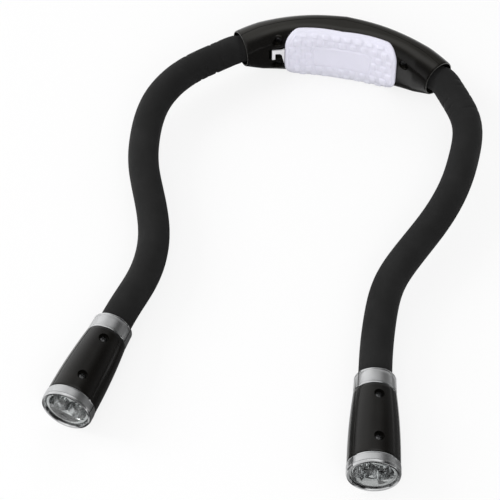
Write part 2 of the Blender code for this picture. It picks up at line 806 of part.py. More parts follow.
def make_spring(name, frame):
    """A coil between the contact plate and the flat end of a cell."""
    start = -BAY_LENGTH / 2 + CLEARANCE + SPRING_WIRE / 2
    end = BAY_LENGTH / 2 - 2 * CLEARANCE - CELL_LENGTH - SPRING_WIRE / 2
    radius = (SPRING_DIAMETER - SPRING_WIRE) / 2
    count = SPRING_TURNS * SPRING_STEPS
    points = []
    for step in range(count + 1):
        turn = 2 * math.pi * step / SPRING_STEPS
        points.append(frame @ Vector((radius * math.cos(turn), radius * math.sin(turn),
                                      mix(start, end, step / count))))
    radii = [SPRING_WIRE / 2] * len(points)
    return make_piece(tube(name, points, radii, 0), "nickel")


def make_contact(name, sign):
    """The plate on one end rib, which the springs and the raised ends of the cells press on."""
    near = sign * (BAY_LENGTH / 2)
    far = sign * (BAY_LENGTH / 2 + CONTACT_THICKNESS)
    low, high = sorted((near, far))
    depth = cell_depth()
    half = CELL_PITCH + CELL_DIAMETER / 2 - CONTACT_MARGIN
    item = box(name, (low, depth - CONTACT_DEPTH / 2, HOUSING_MIDDLE - half),
               (high, depth + CONTACT_DEPTH / 2, HOUSING_MIDDLE + half))
    return make_piece(item, "nickel")


def make_batteries():
    for index, name in enumerate(("lower", "middle", "upper")):
        sign = -1 if name == "middle" else 1
        frame = bay_frame((index - 1) * CELL_PITCH, sign)
        make_cell(f"{name}_cell", frame)
        make_spring(f"{name}_cell_spring", frame)
    make_contact("left_contact_plate", -1)
    make_contact("right_contact_plate", 1)


def make_housing():
    inset_form = whole_form("inset_form", HOUSING_WALL / 2, 0, 1)
    rib_form = whole_form("rib_form", HOUSING_WALL + CLEARANCE, HOUSING_WALL, 1)
    make_outer_shell(inset_form, rib_form)
    make_inner_shell(inset_form)
    door_pivot = add_pivot("door_hinge", hinge_frame())
    latch_pivot = add_pivot("latch_flex", latch_frame(LATCH_LIFT), door_pivot)
    make_door(door_pivot)
    make_pad(door_pivot)
    make_latch(latch_pivot)
    make_batteries()
    for name, (place, up) in screw_places().items():
        make_screw(name, screw_frame(place, up), HOUSING_SCREW_LENGTH)


# Arm paths

def heading_at(headings, share):
    """The direction at a share of the arm, on a smooth curve through the table of headings."""
    spans = len(headings) - 1
    place = min(max(share, 0), 1) * spans
    index = min(int(place), spans - 1)
    part = place - index
    before = headings[max(index - 1, 0)]
    start = headings[index]
    end = headings[index + 1]
    after = headings[min(index + 2, spans)]
    start_slope = (end - before) / 2
    end_slope = (after - start) / 2
    bend = 2 * start - 2 * end + start_slope + end_slope
    turn = 3 * end - 3 * start - 2 * start_slope - end_slope
    return math.radians(start + start_slope * part + turn * part ** 2 + bend * part ** 3)


class ArmPath:
    """The centreline of one arm, measured from its mouth. It carries on into the housing."""

    def __init__(self, sign, headings, length, end_height):
        self.sign = sign
        self.headings = headings
        self.length = length
        self.end_height = end_height
        self.count = int(round(length / PATH_STEP))
        mouth = arch_place(1, 0, 0)
        self.places = [(mouth.x, mouth.y)]
        step = length / self.count
        for index in range(self.count):
            angle = self.heading(step * (index + 0.5))
            along, depth = self.places[-1]
            self.places.append((along + step * math.cos(angle), depth + step * math.sin(angle)))

    def heading(self, distance):
        """The table's direction, eased in from that of the housing's mouth."""
        return mix(-HALF_ANGLE, heading_at(self.headings, distance / self.length), smooth(distance / LEAD_IN))

    def height(self, distance):
        return mix(HOUSING_MIDDLE, self.end_height, smooth(distance / self.length))

    def point(self, distance):
        if distance < 0:
            share = self.sign * (1 + share_of_arc(distance))
            return arch_place(share, 0, 0)
        if distance > self.length:
            return self.point(self.length) + self.head_axis() * (distance - self.length)
        place = distance / self.length * self.count
        index = min(int(place), self.count - 1)
        along, depth = (mix(self.places[index][axis], self.places[index + 1][axis], place - index)
                        for axis in (0, 1))
        return Vector((self.sign * along, depth, self.height(distance)))

    def tangent(self, distance):
        """The level direction of the arm, towards its head."""
        if distance < 0:
            angle = HALF_ANGLE + distance / ARCH_RADIUS
            return Vector((self.sign * math.cos(angle), -math.sin(angle), 0))
        angle = self.heading(distance)
        return Vector((self.sign * math.cos(angle), math.sin(angle), 0))

    def head_axis(self):
        """The direction of the head, whose bezel rests on the table."""
        rise = Vector((0, 0, HEAD_AXIS - self.end_height))
        return (self.tangent(self.length) * HEAD_LENGTH + rise).normalized()

    def radius(self, distance):
        """Outer radius of the sleeve, which grows a little towards the head."""
        share = min(max(distance / self.length, 0), 1)
        return mix(SLEEVE_DIAMETER, SLEEVE_END_DIAMETER, share) / 2

    def frame(self, distance):
        """A frame with X towards the head and Z up."""
        along = self.tangent(distance)
        up = Vector((0, 0, 1))
        return Matrix.Translation(self.point(distance)) @ Matrix((along, up.cross(along), up)).transposed().to_4x4()

    def joint(self, number):
        return JOINT_SHARES[number] * self.length

    def beside_joint(self, number, distance):
        """A point so far past a joint, on the straight line through it."""
        place = self.joint(number)
        return self.point(place) + self.tangent(place) * distance


def stations(start, end):
    """Both ends and the places between them that every tube along the arm shares."""
    shared = [LEAD_IN / 3, LEAD_IN * 2 / 3]
    shared += [step * RING_PITCH for step in range(-2, int(end / RING_PITCH) + 1)]
    inside = [place for place in sorted(shared) if start + RING_PITCH / 5 < place < end - RING_PITCH / 5]
    return [start] + inside + [end]


def make_sleeve(name, path, number, pivot):
    """A length of sleeve: a cup at the joint before it and a ball in the joint after it."""
    last = len(JOINT_SHARES)
    start = -ROOT_LENGTH if number == 0 else path.joint(number - 1) + JOINT_LAND
    end = path.length + SLEEVE_TAIL if number == last else path.joint(number) - JOINT_LAND - STEP_RAMP
    places = stations(start, end)
    points = [path.point(place) for place in places]
    radii = [path.radius(place) for place in places]
    bore_points = points[1:-1]
    if number < last:
        ball_radius = path.radius(path.joint(number)) - BALL_STEP
        rim = SLEEVE_BORE / 2 + CLEARANCE
        tip = math.sqrt(ball_radius ** 2 - rim ** 2)
        for place in (-JOINT_LAND, tip * 0.2, tip * 0.7, tip):
            points.append(path.beside_joint(number, place))
            radii.append(math.sqrt(ball_radius ** 2 - place ** 2))
        bore_points.append(path.beside_joint(number, 0))
        bore_points.append(path.beside_joint(number, tip + OVERRUN))
    else:
        bore_points.append(path.point(end + OVERRUN))
    if number == 0:
        bore_points.insert(0, path.point(start - OVERRUN))
    else:
        bore_points.insert(0, path.beside_joint(number - 1, -OVERRUN))
    sleeve = tube(name, points, radii, 5)
    bore = tube(f"{name}_bore", bore_points, [SLEEVE_BORE / 2] * len(bore_points), 3)
    if number > 0:
        centre = path.frame(path.joint(number - 1))
        lie = Matrix.Rotation(math.pi / 2, 4, "Y")
        cup_radius = path.radius(path.joint(number - 1))
        cut(sleeve, ball(f"{name}_cup", cup_radius, 14, 8, centre @ lie))
    cut(sleeve, bore)
    return make_piece(sleeve, "charcoal_rubber", pivot)


def make_core(name, path, number, pivot):
    """The flexible conduit inside one length of sleeve, which carries the two wires of the lamp."""
    last = len(JOINT_SHARES)
    start = -ROOT_LENGTH - CORE_ROOT_EXTRA if number == 0 else path.joint(number - 1) + CORE_START
    end = path.length + CORE_TAIL if number == last else path.joint(number)
    points = [path.point(place) for place in stations(start, end)]
    bore_points = [path.point(start) - path.tangent(start) * OVERRUN] + points
    if number < last:
        points.append(path.beside_joint(number, CORE_REACH))
        bore_points.append(path.beside_joint(number, CORE_REACH + OVERRUN))
    else:
        bore_points.append(path.point(end + OVERRUN))
    core = tube(name, points, [CORE_DIAMETER / 2] * len(points), 2)
    cut(core, tube(f"{name}_bore", bore_points, [CORE_BORE / 2] * len(bore_points), 1))
    return make_piece(core, "steel", pivot)


# Heads, in a frame with Z along the axis to the front and X towards the screws

def barrel_radius(place):
    """Outer radius of the body at a distance from the rear of the collar."""
    share = min(max((place - BODY_START) / BODY_LENGTH, 0), 1)
    rear = BODY_REAR_DIAMETER / 2
    middle = BODY_MIDDLE_DIAMETER / 2
    front = BODY_FRONT_DIAMETER / 2
    bulge = middle - (rear + front) / 2
    return mix(rear, front, share) + bulge * 4 * share * (1 - share)


def body_profile():
    neck = NECK_DIAMETER / 2
    throat = CORE_DIAMETER / 2 + CLEARANCE
    floor = BODY_START + BODY_WALL
    barrel = [mix(BODY_END, BODY_START, step / BARREL_STEPS) for step in range(BARREL_STEPS + 1)]
    bore = [mix(floor, BODY_END, step / BARREL_STEPS) for step in range(BARREL_STEPS + 1)]
    profile = [(barrel_radius(place), place) for place in barrel]
    profile += [(neck, BODY_START), (neck, BODY_START - NECK_LENGTH)]
    profile += [(throat, BODY_START - NECK_LENGTH), (throat, floor)]
    profile += [(barrel_radius(place) - BODY_WALL, place) for place in bore]
    return profile


def split_box(name, frame, low, high):
    reach = BEZEL_DIAMETER
    return box(name, (low, -reach, -reach), (high, reach, HEAD_LENGTH + reach), frame)


def screw_seat(place):
    """A frame on the cover's surface with Z pointing inwards, towards the axis."""
    return Matrix.Translation((barrel_radius(place), 0, place)) @ Matrix.Rotation(-math.pi / 2, 4, "Y")


def make_body(side, frame, pivot):
    body = turned(f"{side}_head_body", body_profile(), HEAD_SIDES, frame, closed=True)
    keep_within(body, split_box(f"{side}_body_side", frame, -BEZEL_DIAMETER, SHELL_SPLIT))
    for index, place in enumerate(HEAD_SCREW_PLACES):
        seat = frame @ screw_seat(place)
        drop = barrel_radius(place) - SHELL_SPLIT
        length = barrel_radius(place) * 2 - drop - BODY_WALL / 2
        post = cone(f"{side}_post_{index}", POST_DIAMETER / 2, POST_DIAMETER / 2, length, HOLE_SIDES,
                    seat @ Matrix.Translation((0, 0, drop)))
        join(body, post)
        bore = SCREW_SHANK_DIAMETER / 2 + CLEARANCE
        depth = SCREW_RECESS + HEAD_SCREW_LENGTH + CLEARANCE
        cut(body, cone(f"{side}_post_bore_{index}", bore, bore, depth, BORE_SIDES, seat))
    hole = BUTTON_DIAMETER / 2 + CLEARANCE
    cut(body, cone(f"{side}_button_hole", hole, hole, BODY_WALL * 2 + OVERRUN, HOLE_SIDES,
                   frame @ button_seat() @ Matrix.Translation((0, 0, -BODY_WALL * 2))))
    return make_piece(body, "black_gloss_plastic", pivot)


def make_cover(side, frame, pivot):
    cover = turned(f"{side}_head_cover", body_profile(), HEAD_SIDES, frame, closed=True)
    keep_within(cover, split_box(f"{side}_cover_side", frame, SHELL_SPLIT + CLEARANCE, BEZEL_DIAMETER))
    for index, place in enumerate(HEAD_SCREW_PLACES):
        seat = frame @ screw_seat(place)
        depth = barrel_radius(place) - SHELL_SPLIT - CLEARANCE
        start = BODY_WALL * 0.7
        boss = cone(f"{side}_cover_boss_{index}", BOSS_DIAMETER / 2, BOSS_DIAMETER / 2, depth - start, HOLE_SIDES,
                    seat @ Matrix.Translation((0, 0, start)))
        join(cover, boss)
        recess = SCREW_HOLE_DIAMETER / 2
        cut(cover, cone(f"{side}_cover_recess_{index}", recess, recess, SCREW_RECESS + OVERRUN, HOLE_SIDES,
                        seat @ Matrix.Translation((0, 0, -OVERRUN))))
        hole = SCREW_SHANK_DIAMETER / 2 + CLEARANCE
        cut(cover, cone(f"{side}_cover_hole_{index}", hole, hole, depth + OVERRUN, BORE_SIDES, seat))
    return make_piece(cover, "black_gloss_plastic", pivot)


def make_collar(side, frame, pivot):
    outer = COLLAR_DIAMETER / 2
    rear = COLLAR_REAR_DIAMETER / 2
    throat = SLEEVE_END_DIAMETER / 2 + CLEARANCE
    socket = NECK_DIAMETER / 2 + CLEARANCE
    shelf = COLLAR_LENGTH - NECK_LENGTH
    profile = [
        (outer, COLLAR_LENGTH),
        (rear, COLLAR_EDGE),
        (rear - COLLAR_EDGE, 0),
        (throat, 0),
        (throat, shelf),
        (socket, shelf),
        (socket, COLLAR_LENGTH),
    ]
    return make_piece(turned(f"{side}_collar", profile, HEAD_SIDES, frame, closed=True), "satin_silver", pivot)


def make_bezel(side, frame, pivot):
    rear = HEAD_LENGTH - BEZEL_LENGTH
    outer = BEZEL_DIAMETER / 2
    skirt = SKIRT_DIAMETER / 2
    bore = SKIRT_BORE / 2
    pocket = LENS_DIAMETER / 2 + CLEARANCE
    opening = BEZEL_OPENING / 2
    lip = HEAD_LENGTH - BEZEL_LIP
    shelf = reflector_face() - FLANGE_THICKNESS - CLEARANCE
    profile = [
        (opening, HEAD_LENGTH),
        (outer - BEZEL_EDGE, HEAD_LENGTH),
        (outer, HEAD_LENGTH - BEZEL_EDGE),
        (outer, rear),
        (skirt, rear),
        (skirt, rear - SKIRT_LENGTH),
        (bore, rear - SKIRT_LENGTH),
        (bore, shelf),
        (pocket, shelf),
        (pocket, lip),
        (opening, lip),
    ]
    return make_piece(turned(f"{side}_bezel", profile, HEAD_SIDES, frame, closed=True), "satin_silver", pivot)


def reflector_face():
    return HEAD_LENGTH - BEZEL_LIP - LENS_THICKNESS - 2 * CLEARANCE


def make_lens(side, frame, pivot):
    high = HEAD_LENGTH - BEZEL_LIP - CLEARANCE
    lens = cone(f"{side}_lens", LENS_DIAMETER / 2, LENS_DIAMETER / 2, LENS_THICKNESS, HEAD_SIDES,
                frame @ Matrix.Translation((0, 0, high - LENS_THICKNESS)))
    return make_piece(lens, "clear_plastic", pivot)


def cup_frames():
    return {"a": Matrix.Translation((0, CUP_OFFSET, 0)), "b": Matrix.Translation((0, -CUP_OFFSET, 0))}


def make_reflector(side, frame, pivot):
    face = reflector_face()
    flange = LENS_DIAMETER / 2
    radius = REFLECTOR_DIAMETER / 2
    profile = [
        (0, face),
        (flange, face),
        (flange, face - FLANGE_THICKNESS),
        (radius, face - FLANGE_THICKNESS),
        (radius, face - REFLECTOR_DEPTH),
        (0, face - REFLECTOR_DEPTH),
    ]
    reflector = turned(f"{side}_reflector", profile, HEAD_SIDES, frame)
    hole = LED_HOLE_DIAMETER / 2
    cup = CUP_DIAMETER / 2
    slope = (cup - hole) / CUP_DEPTH
    cup_profile = [
        (0, face + OVERRUN),
        (cup + slope * OVERRUN, face + OVERRUN),
        (hole, face - CUP_DEPTH),
        (hole, face - REFLECTOR_DEPTH - OVERRUN),
        (0, face - REFLECTOR_DEPTH - OVERRUN),
    ]
    for name, offset in cup_frames().items():
        cut(reflector, turned(f"{side}_cup_{name}", cup_profile, CELL_SIDES, frame @ offset))
    return make_piece(reflector, "chrome", pivot)


def make_leds(side, frame, pivot):
    start = reflector_face() - REFLECTOR_DEPTH - CLEARANCE - LED_FLANGE_HEIGHT
    radius = LED_DIAMETER / 2
    dome = start + LED_LENGTH - radius
    steps = 3
    for name, offset in cup_frames().items():
        profile = [(radius * math.sin(math.pi / 2 * step / steps), dome + radius * math.cos(math.pi / 2 * step / steps))
                   for step in range(steps + 1)]
        profile += [
            (radius, start + LED_FLANGE_HEIGHT),
            (LED_FLANGE_DIAMETER / 2, start + LED_FLANGE_HEIGHT),
            (LED_FLANGE_DIAMETER / 2, start),
            (0, start),
        ]
        make_piece(turned(f"{side}_led_{name}", profile, BORE_SIDES, frame @ offset), "clear_plastic", pivot)


def button_seat():
    """A frame on the body's surface with Z pointing out, on the side opposite the screws."""
    return Matrix.Translation((-barrel_radius(BUTTON_PLACE), 0, BUTTON_PLACE)) @ Matrix.Rotation(-math.pi / 2, 4, "Y")


def flange_top():
    """Height of the button's flange in its seat's frame: it just clears the curved wall at its rim."""
    bore = barrel_radius(BUTTON_PLACE) - BODY_WALL
    room = math.sqrt(bore ** 2 - (BUTTON_FLANGE_DIAMETER / 2) ** 2)
    return room - barrel_radius(BUTTON_PLACE) - 2 * CLEARANCE


def make_button(side, frame, pivot):
    radius = BUTTON_DIAMETER / 2
    flange = BUTTON_FLANGE_DIAMETER / 2
    top = flange_top()
    profile = [
        (0, -BUTTON_INSET),
        (radius - BUTTON_EDGE, -BUTTON_INSET),
        (radius, -BUTTON_INSET - BUTTON_EDGE),
        (radius, top),
        (flange, top),
        (flange, top - BUTTON_FLANGE_THICKNESS),
        (0, top - BUTTON_FLANGE_THICKNESS),
    ]
    item = turned(f"{side}_button", profile, HOLE_SIDES, frame @ button_seat())
    return make_piece(item, "charcoal_rubber", pivot)


def make_switch_board(side, frame, pivot):
    """A small board across the body, seated on its walls, with the push switch on it."""
    foot = flange_top() - BUTTON_FLANGE_THICKNESS - BUTTON_TRAVEL - CLEARANCE
    seat = frame @ button_seat()
    base = foot - PLUNGER_HEIGHT - SWITCH_HEIGHT
    half_length = BOARD_LENGTH / 2
    half_width = BOARD_WIDTH / 2
    board = box(f"{side}_switch_board", (-half_length, -half_width, base - BOARD_THICKNESS),
                (half_length, half_width, base), seat)
    half = SWITCH_SIZE / 2
    join(board, box(f"{side}_switch", (-half, -half, base - BOARD_THICKNESS / 2), (half, half, foot - PLUNGER_HEIGHT),
                    seat))
    join(board, cone(f"{side}_plunger", PLUNGER_DIAMETER / 2, PLUNGER_DIAMETER / 2, PLUNGER_HEIGHT + SWITCH_HEIGHT / 2,
                     BORE_SIDES, seat @ Matrix.Translation((0, 0, foot - PLUNGER_HEIGHT - SWITCH_HEIGHT / 2))))
    return make_piece(board, "board_green", pivot)


def head_frame(path, twist):
    """Z along the head's axis and X towards the screws, which lean a little towards +X."""
    along = path.head_axis()
    side = Vector((0, 0, 1)).cross(along).normalized()
    if side.x < 0:
        side = -side
    up = along.cross(side) if along.cross(side).z > 0 else side.cross(along)
    screws = up * math.cos(twist) + side * math.sin(twist)
    turn = Matrix((screws, along.cross(screws), along)).transposed().to_4x4()
    return Matrix.Translation(path.point(path.length)) @ turn


def make_head(side, path, twist, pivot):
    frame = head_frame(path, twist)
    make_body(side, frame, pivot)
    make_cover(side, frame, pivot)
    make_collar(side, frame, pivot)
    make_bezel(side, frame, pivot)
    make_lens(side, frame, pivot)
    make_reflector(side, frame, pivot)
    make_leds(side, frame, pivot)
    make_switch_board(side, frame, pivot)
    button_pivot = add_pivot(f"{side}_button_press", frame @ button_seat(), pivot)
    make_button(side, frame, button_pivot)
    for index, place in zip(("rear", "front"), HEAD_SCREW_PLACES):
        make_screw(f"{side}_head_screw_{index}", frame @ screw_seat(place), HEAD_SCREW_LENGTH, pivot)


def make_arm(side, path, twist):
    pivot = None
    for number in range(len(JOINT_SHARES) + 1):
        if number > 0:
            pivot = add_pivot(f"{side}_arm_joint_{number}", path.frame(path.joint(number - 1)), pivot)
        make_sleeve(f"{side}_sleeve_{number + 1}", path, number, pivot)
        make_core(f"{side}_core_{number + 1}", path, number, pivot)
    make_head(side, path, twist, pivot)


def main():
    clear_scene()
    make_housing()
    make_arm("left", ArmPath(-1, LEFT_HEADINGS, LEFT_ARM_LENGTH, LEFT_COLLAR_HEIGHT), LEFT_TWIST)
    make_arm("right", ArmPath(1, RIGHT_HEADINGS, RIGHT_ARM_LENGTH, RIGHT_COLLAR_HEIGHT), RIGHT_TWIST)


main()
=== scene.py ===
# Neck reading light, dressed: arched housing, pad, foam sleeves and twin-LED heads.
# Metres, +Z up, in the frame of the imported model. The light lies flat, its heads towards -Y.

import math

import bmesh
import bpy
from mathutils import Matrix, Vector


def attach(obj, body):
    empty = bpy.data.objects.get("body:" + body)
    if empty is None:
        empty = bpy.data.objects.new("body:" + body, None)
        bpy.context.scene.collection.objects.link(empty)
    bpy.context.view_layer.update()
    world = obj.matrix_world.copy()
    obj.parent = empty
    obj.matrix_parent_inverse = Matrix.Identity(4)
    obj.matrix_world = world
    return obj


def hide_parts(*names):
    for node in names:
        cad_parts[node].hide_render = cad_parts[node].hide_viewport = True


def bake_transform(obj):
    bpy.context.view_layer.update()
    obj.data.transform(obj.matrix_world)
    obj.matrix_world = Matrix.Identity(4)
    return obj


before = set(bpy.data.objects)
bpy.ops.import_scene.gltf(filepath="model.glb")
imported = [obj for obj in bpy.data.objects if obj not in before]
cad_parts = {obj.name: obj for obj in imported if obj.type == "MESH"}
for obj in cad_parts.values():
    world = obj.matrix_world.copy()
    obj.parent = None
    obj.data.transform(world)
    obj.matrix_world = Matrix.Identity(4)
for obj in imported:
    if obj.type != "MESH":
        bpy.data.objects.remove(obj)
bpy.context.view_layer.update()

upward = Vector((0, 0, 1))


# Wiring of node trees

class Wire:
    # a socket's output that works in sums, in materials and in geometry trees alike
    def __init__(self, net, socket):
        self.net = net
        self.socket = socket

    def math(self, operation, *others):
        values = (self,) + others
        return self.net.wire("ShaderNodeMath", {"operation": operation}, dict(enumerate(values)))

    def flipped(self, operation, other):
        return self.net.wire("ShaderNodeMath", {"operation": operation}, {0: other, 1: self})

    def __add__(self, other): return self.math("ADD", other)
    def __radd__(self, other): return self.math("ADD", other)
    def __sub__(self, other): return self.math("SUBTRACT", other)
    def __rsub__(self, other): return self.flipped("SUBTRACT", other)
    def __mul__(self, other): return self.math("MULTIPLY", other)
    def __rmul__(self, other): return self.math("MULTIPLY", other)
    def __truediv__(self, other): return self.math("DIVIDE", other)
    def __rtruediv__(self, other): return self.flipped("DIVIDE", other)
    def __pow__(self, other): return self.math("POWER", other)
    def __abs__(self): return self.math("ABSOLUTE")

    def above(self, other): return self.math("MAXIMUM", other)

    def eased(self, low, high):
        settings = {"interpolation_type": "SMOOTHSTEP", "clamp": True}
        values = {"Value": self, "From Min": low, "From Max": high}
        return self.net.wire("ShaderNodeMapRange", settings, values)


class Net:
    # a node tree with one way to add any node
    def __init__(self, tree):
        self.tree = tree

    def node(self, kind, settings=None, values=None):
        made = self.tree.nodes.new(kind)
        for key, value in (settings or {}).items():
            setattr(made, key, value)
        for key, value in (values or {}).items():
            self.plug(made.inputs[key], value)
        return made

    def wire(self, kind, settings=None, values=None, output=0):
        return Wire(self, self.node(kind, settings, values).outputs[output])

    def plug(self, socket, value):
        if isinstance(value, Wire):
            self.tree.links.new(value.socket, socket)
        else:
            socket.default_value = value

    def parts(self, vector):
        # the X, Y and Z of a vector
        return [Wire(self, socket) for socket in self.node("ShaderNodeSeparateXYZ", {}, {0: vector}).outputs]

    def noise(self, vector, scale, detail=2, roughness=0.5):
        values = {"Vector": vector, "Scale": scale, "Detail": detail, "Roughness": roughness}
        return self.wire("ShaderNodeTexNoise", {"noise_dimensions": "3D"}, values)

    def stretched(self, vector, scale):
        return self.wire("ShaderNodeMapping", {}, {"Vector": vector, "Scale": scale})

    def blended(self, share, low, high):
        return self.wire("ShaderNodeMix", {"data_type": "RGBA"}, {0: share, 6: low, 7: high}, output=2)

    def stored(self, name, kind="FLOAT"):
        return self.wire("GeometryNodeInputNamedAttribute", {"data_type": kind}, {"Name": name})

    def marked(self, geometry, name, value):
        # the geometry with a value kept at each of its points
        return self.wire("GeometryNodeStoreNamedAttribute", {"data_type": "FLOAT", "domain": "POINT"},
                         {"Geometry": geometry, "Name": name, "Value": value})

    def swollen(self, geometry, height):
        # the geometry with each point moved along its normal
        offset = self.wire("ShaderNodeVectorMath", {"operation": "SCALE"},
                           {0: self.wire("GeometryNodeInputNormal"), "Scale": height})
        return self.wire("GeometryNodeSetPosition", {}, {"Geometry": geometry, "Offset": offset})


def newMaterial(name, fixed):
    # a principled material, its constants set on the shader's own sockets
    material = bpy.data.materials.new(name)
    material.use_nodes = True
    shader = material.node_tree.nodes["Principled BSDF"]
    for key, value in fixed.items():
        shader.inputs[key].default_value = value
    material.diffuse_color = fixed["Base Color"]
    return material, Net(material.node_tree), shader


def objectPlace(net):
    return net.wire("ShaderNodeTexCoord", output="Object")


def paint(net, shader, colour, roughness):
    net.plug(shader.inputs["Base Color"], colour)
    net.plug(shader.inputs["Roughness"], roughness)


def addBump(net, shader, height, strength, distance):
    bump = net.wire("ShaderNodeBump", {}, {"Height": height, "Strength": strength, "Distance": distance})
    net.plug(shader.inputs["Normal"], bump)


# Finishes

plasticLook = {"dark": (0.0040, 0.0036, 0.0032, 1), "dusty": (0.0085, 0.0080, 0.0068, 1),
               "dustAndTopLight": (0.0150, 0.0140, 0.0115, 1), "gloss": 0.20, "level": 0.25, "hazeGrain": 60,
               "speckGrain": 2600, "scuffGrain": (300, 2400, 900), "peelGrain": 700, "peel": 0.05,
               "peelDepth": 0.0002, "upFacing": (0.70, 0.97)}


def makeBlackPlastic(name, dustAndTopLightShare):
    # gloss black; faces that look up are painted lighter, partly as settled dust and partly as painted light
    # from above
    look = plasticLook
    material, net, shader = newMaterial(name, {
        "Base Color": look["dark"], "Roughness": look["gloss"], "Specular IOR Level": look["level"]})
    place = objectPlace(net)
    haze = net.noise(place, look["hazeGrain"], 4, 0.6).eased(0.42, 0.75)
    specks = net.noise(place, look["speckGrain"], 1).eased(0.70, 0.78)
    scuffs = net.noise(net.stretched(place, look["scuffGrain"]), 1, 3, 0.6).eased(0.55, 0.8)
    upFacing = net.parts(net.wire("ShaderNodeTexCoord", output="Normal"))[2].eased(*look["upFacing"])
    # painted light and dust: faces that look up are lightened, as dust and as the light that falls on tops
    dustAndTopLight = upFacing * (0.85 + haze * 0.15) * dustAndTopLightShare
    clean = net.blended(haze * 0.6 + specks * 0.3, look["dark"], look["dusty"])
    paint(net, shader, net.blended(dustAndTopLight, clean, look["dustAndTopLight"]),
          look["gloss"] + haze * 0.05 + scuffs * 0.05)
    addBump(net, shader, net.noise(place, look["peelGrain"], 2), look["peel"], look["peelDepth"])
    return material


foamLook = {"dark": (0.0088, 0.0088, 0.0088, 1), "worn": (0.0165, 0.0165, 0.0166, 1), "rough": 0.78,
            "level": 0.24, "sheen": 0.012, "sheenRough": 0.5, "cloudGrain": 45, "poreGrain": 2900,
            "skinGrain": 750, "lintGrain": 1900, "pores": 0.42, "poreDepth": 0.00016}


def makeFoam():
    look = foamLook
    material, net, shader = newMaterial("charcoalFoamRubber", {
        "Base Color": look["dark"], "Roughness": look["rough"], "Specular IOR Level": look["level"],
        "Sheen Weight": look["sheen"], "Sheen Roughness": look["sheenRough"]})
    place = objectPlace(net)
    cloud = net.noise(place, look["cloudGrain"], 3, 0.6).eased(0.35, 0.75)
    pores = net.noise(place, look["poreGrain"], 2, 0.7)
    skin = net.noise(place, look["skinGrain"], 3, 0.6)
    lint = net.noise(place, look["lintGrain"], 0).eased(0.73, 0.80)
    wear = cloud * 0.45 + pores * 0.25 + lint * 0.5
    paint(net, shader, net.blended(wear, look["dark"], look["worn"]),
          look["rough"] + pores * 0.12 - cloud * 0.06)
    addBump(net, shader, pores * 0.6 + skin * 0.7, look["pores"], look["poreDepth"])
    return material


padLook = {"milky": (0.735, 0.725, 0.825, 1), "paintedLowShade": (0.60, 0.60, 0.665, 1), "rough": 0.40, "level": 0.4,
           "glow": 0.05, "glowColour": (0.9, 0.85, 1.0), "glowReach": 0.0012, "paintedLowShadeHeights": (0.001, 0.013),
           "cloudGrain": 70, "fineGrain": 2200, "fine": 0.10, "fineDepth": 0.0001}


def makePadSilicone():
    # milky, with painted shade that makes it darker and cooler towards the table
    look = padLook
    material, net, shader = newMaterial("milkySilicone", {
        "Base Color": look["milky"], "Roughness": look["rough"], "Specular IOR Level": look["level"],
        "Subsurface Weight": look["glow"], "Subsurface Radius": look["glowColour"],
        "Subsurface Scale": look["glowReach"]})
    place = objectPlace(net)
    cloud = net.noise(place, look["cloudGrain"], 3, 0.5).eased(0.3, 0.8)
    fine = net.noise(place, look["fineGrain"], 2)
    # painted shade: the pad darkens towards the table
    low = 1 - net.parts(place)[2].eased(*look["paintedLowShadeHeights"])
    paint(net, shader, net.blended(low * 0.8 + cloud * 0.25, look["milky"], look["paintedLowShade"]),
          look["rough"] + cloud * 0.1 + fine * 0.06)
    addBump(net, shader, fine, look["fine"], look["fineDepth"])
    return material


latchLook = {"white": (0.76, 0.75, 0.775, 1), "shade": (0.66, 0.65, 0.67, 1), "rough": 0.32,
             "handledGrain": 420, "fineGrain": 1600, "fine": 0.08, "fineDepth": 0.0001}


def makeLatchPlastic():
    look = latchLook
    material, net, shader = newMaterial("greyWhitePlastic", {
        "Base Color": look["white"], "Roughness": look["rough"]})
    place = objectPlace(net)
    handled = net.noise(place, look["handledGrain"], 3, 0.6).eased(0.4, 0.8)
    paint(net, shader, net.blended(handled * 0.5, look["white"], look["shade"]), look["rough"] + handled * 0.12)
    addBump(net, shader, net.noise(place, look["fineGrain"], 2), look["fine"], look["fineDepth"])
    return material


ringLook = {"silver": (0.57, 0.575, 0.58, 1), "worn": (0.46, 0.465, 0.47, 1), "satin": 0.26, "polished": 0.10,
            "latheGrain": (140, 9000, 1), "cloudGrain": 160, "grain": 0.10, "grainDepth": 0.00004}


def makeSatinRing():
    # turned satin silver, with polished edges where the ring's polish attribute says so
    look = ringLook
    material, net, shader = newMaterial("satinSilver", {
        "Base Color": look["silver"], "Metallic": 1.0, "Roughness": look["satin"]})
    polish = net.wire("ShaderNodeAttribute", {"attribute_name": "polish"}, output="Fac")
    surface = net.wire("ShaderNodeTexCoord", output="UV")
    lathe = net.noise(net.stretched(surface, look["latheGrain"]), 1, 3, 0.6)
    cloud = net.noise(objectPlace(net), look["cloudGrain"], 3, 0.55).eased(0.35, 0.75)
    satin = look["satin"] + lathe * 0.10 + cloud * 0.05
    paint(net, shader, net.blended(cloud * 0.5, look["silver"], look["worn"]),
          satin * (1 - polish) + polish * look["polished"])
    addBump(net, shader, lathe * (1 - polish), look["grain"], look["grainDepth"])
    return material


mirrorLook = {"silver": (0.70, 0.705, 0.71, 1), "rough": 0.04, "rippleGrain": 240, "ripple": 0.035,
              "rippleDepth": 0.0005}


def makeMirror():
    look = mirrorLook
    material, net, shader = newMaterial("metallisedMirror", {
        "Base Color": look["silver"], "Metallic": 1.0, "Roughness": look["rough"]})
    ripple = net.noise(objectPlace(net), look["rippleGrain"], 1, 0.5)
    net.plug(shader.inputs["Roughness"], look["rough"] + ripple.eased(0.5, 0.9) * 0.05)
    addBump(net, shader, ripple, look["ripple"], look["rippleDepth"])
    return material


def makeClear(name, tint, rough):
    material, net, shader = newMaterial(name, {
        "Base Color": tint, "Roughness": rough, "IOR": 1.42, "Transmission Weight": 1.0})
    dust = net.noise(objectPlace(net), 900, 2).eased(0.6, 0.85)
    net.plug(shader.inputs["Roughness"], rough + dust * 0.03)
    return material


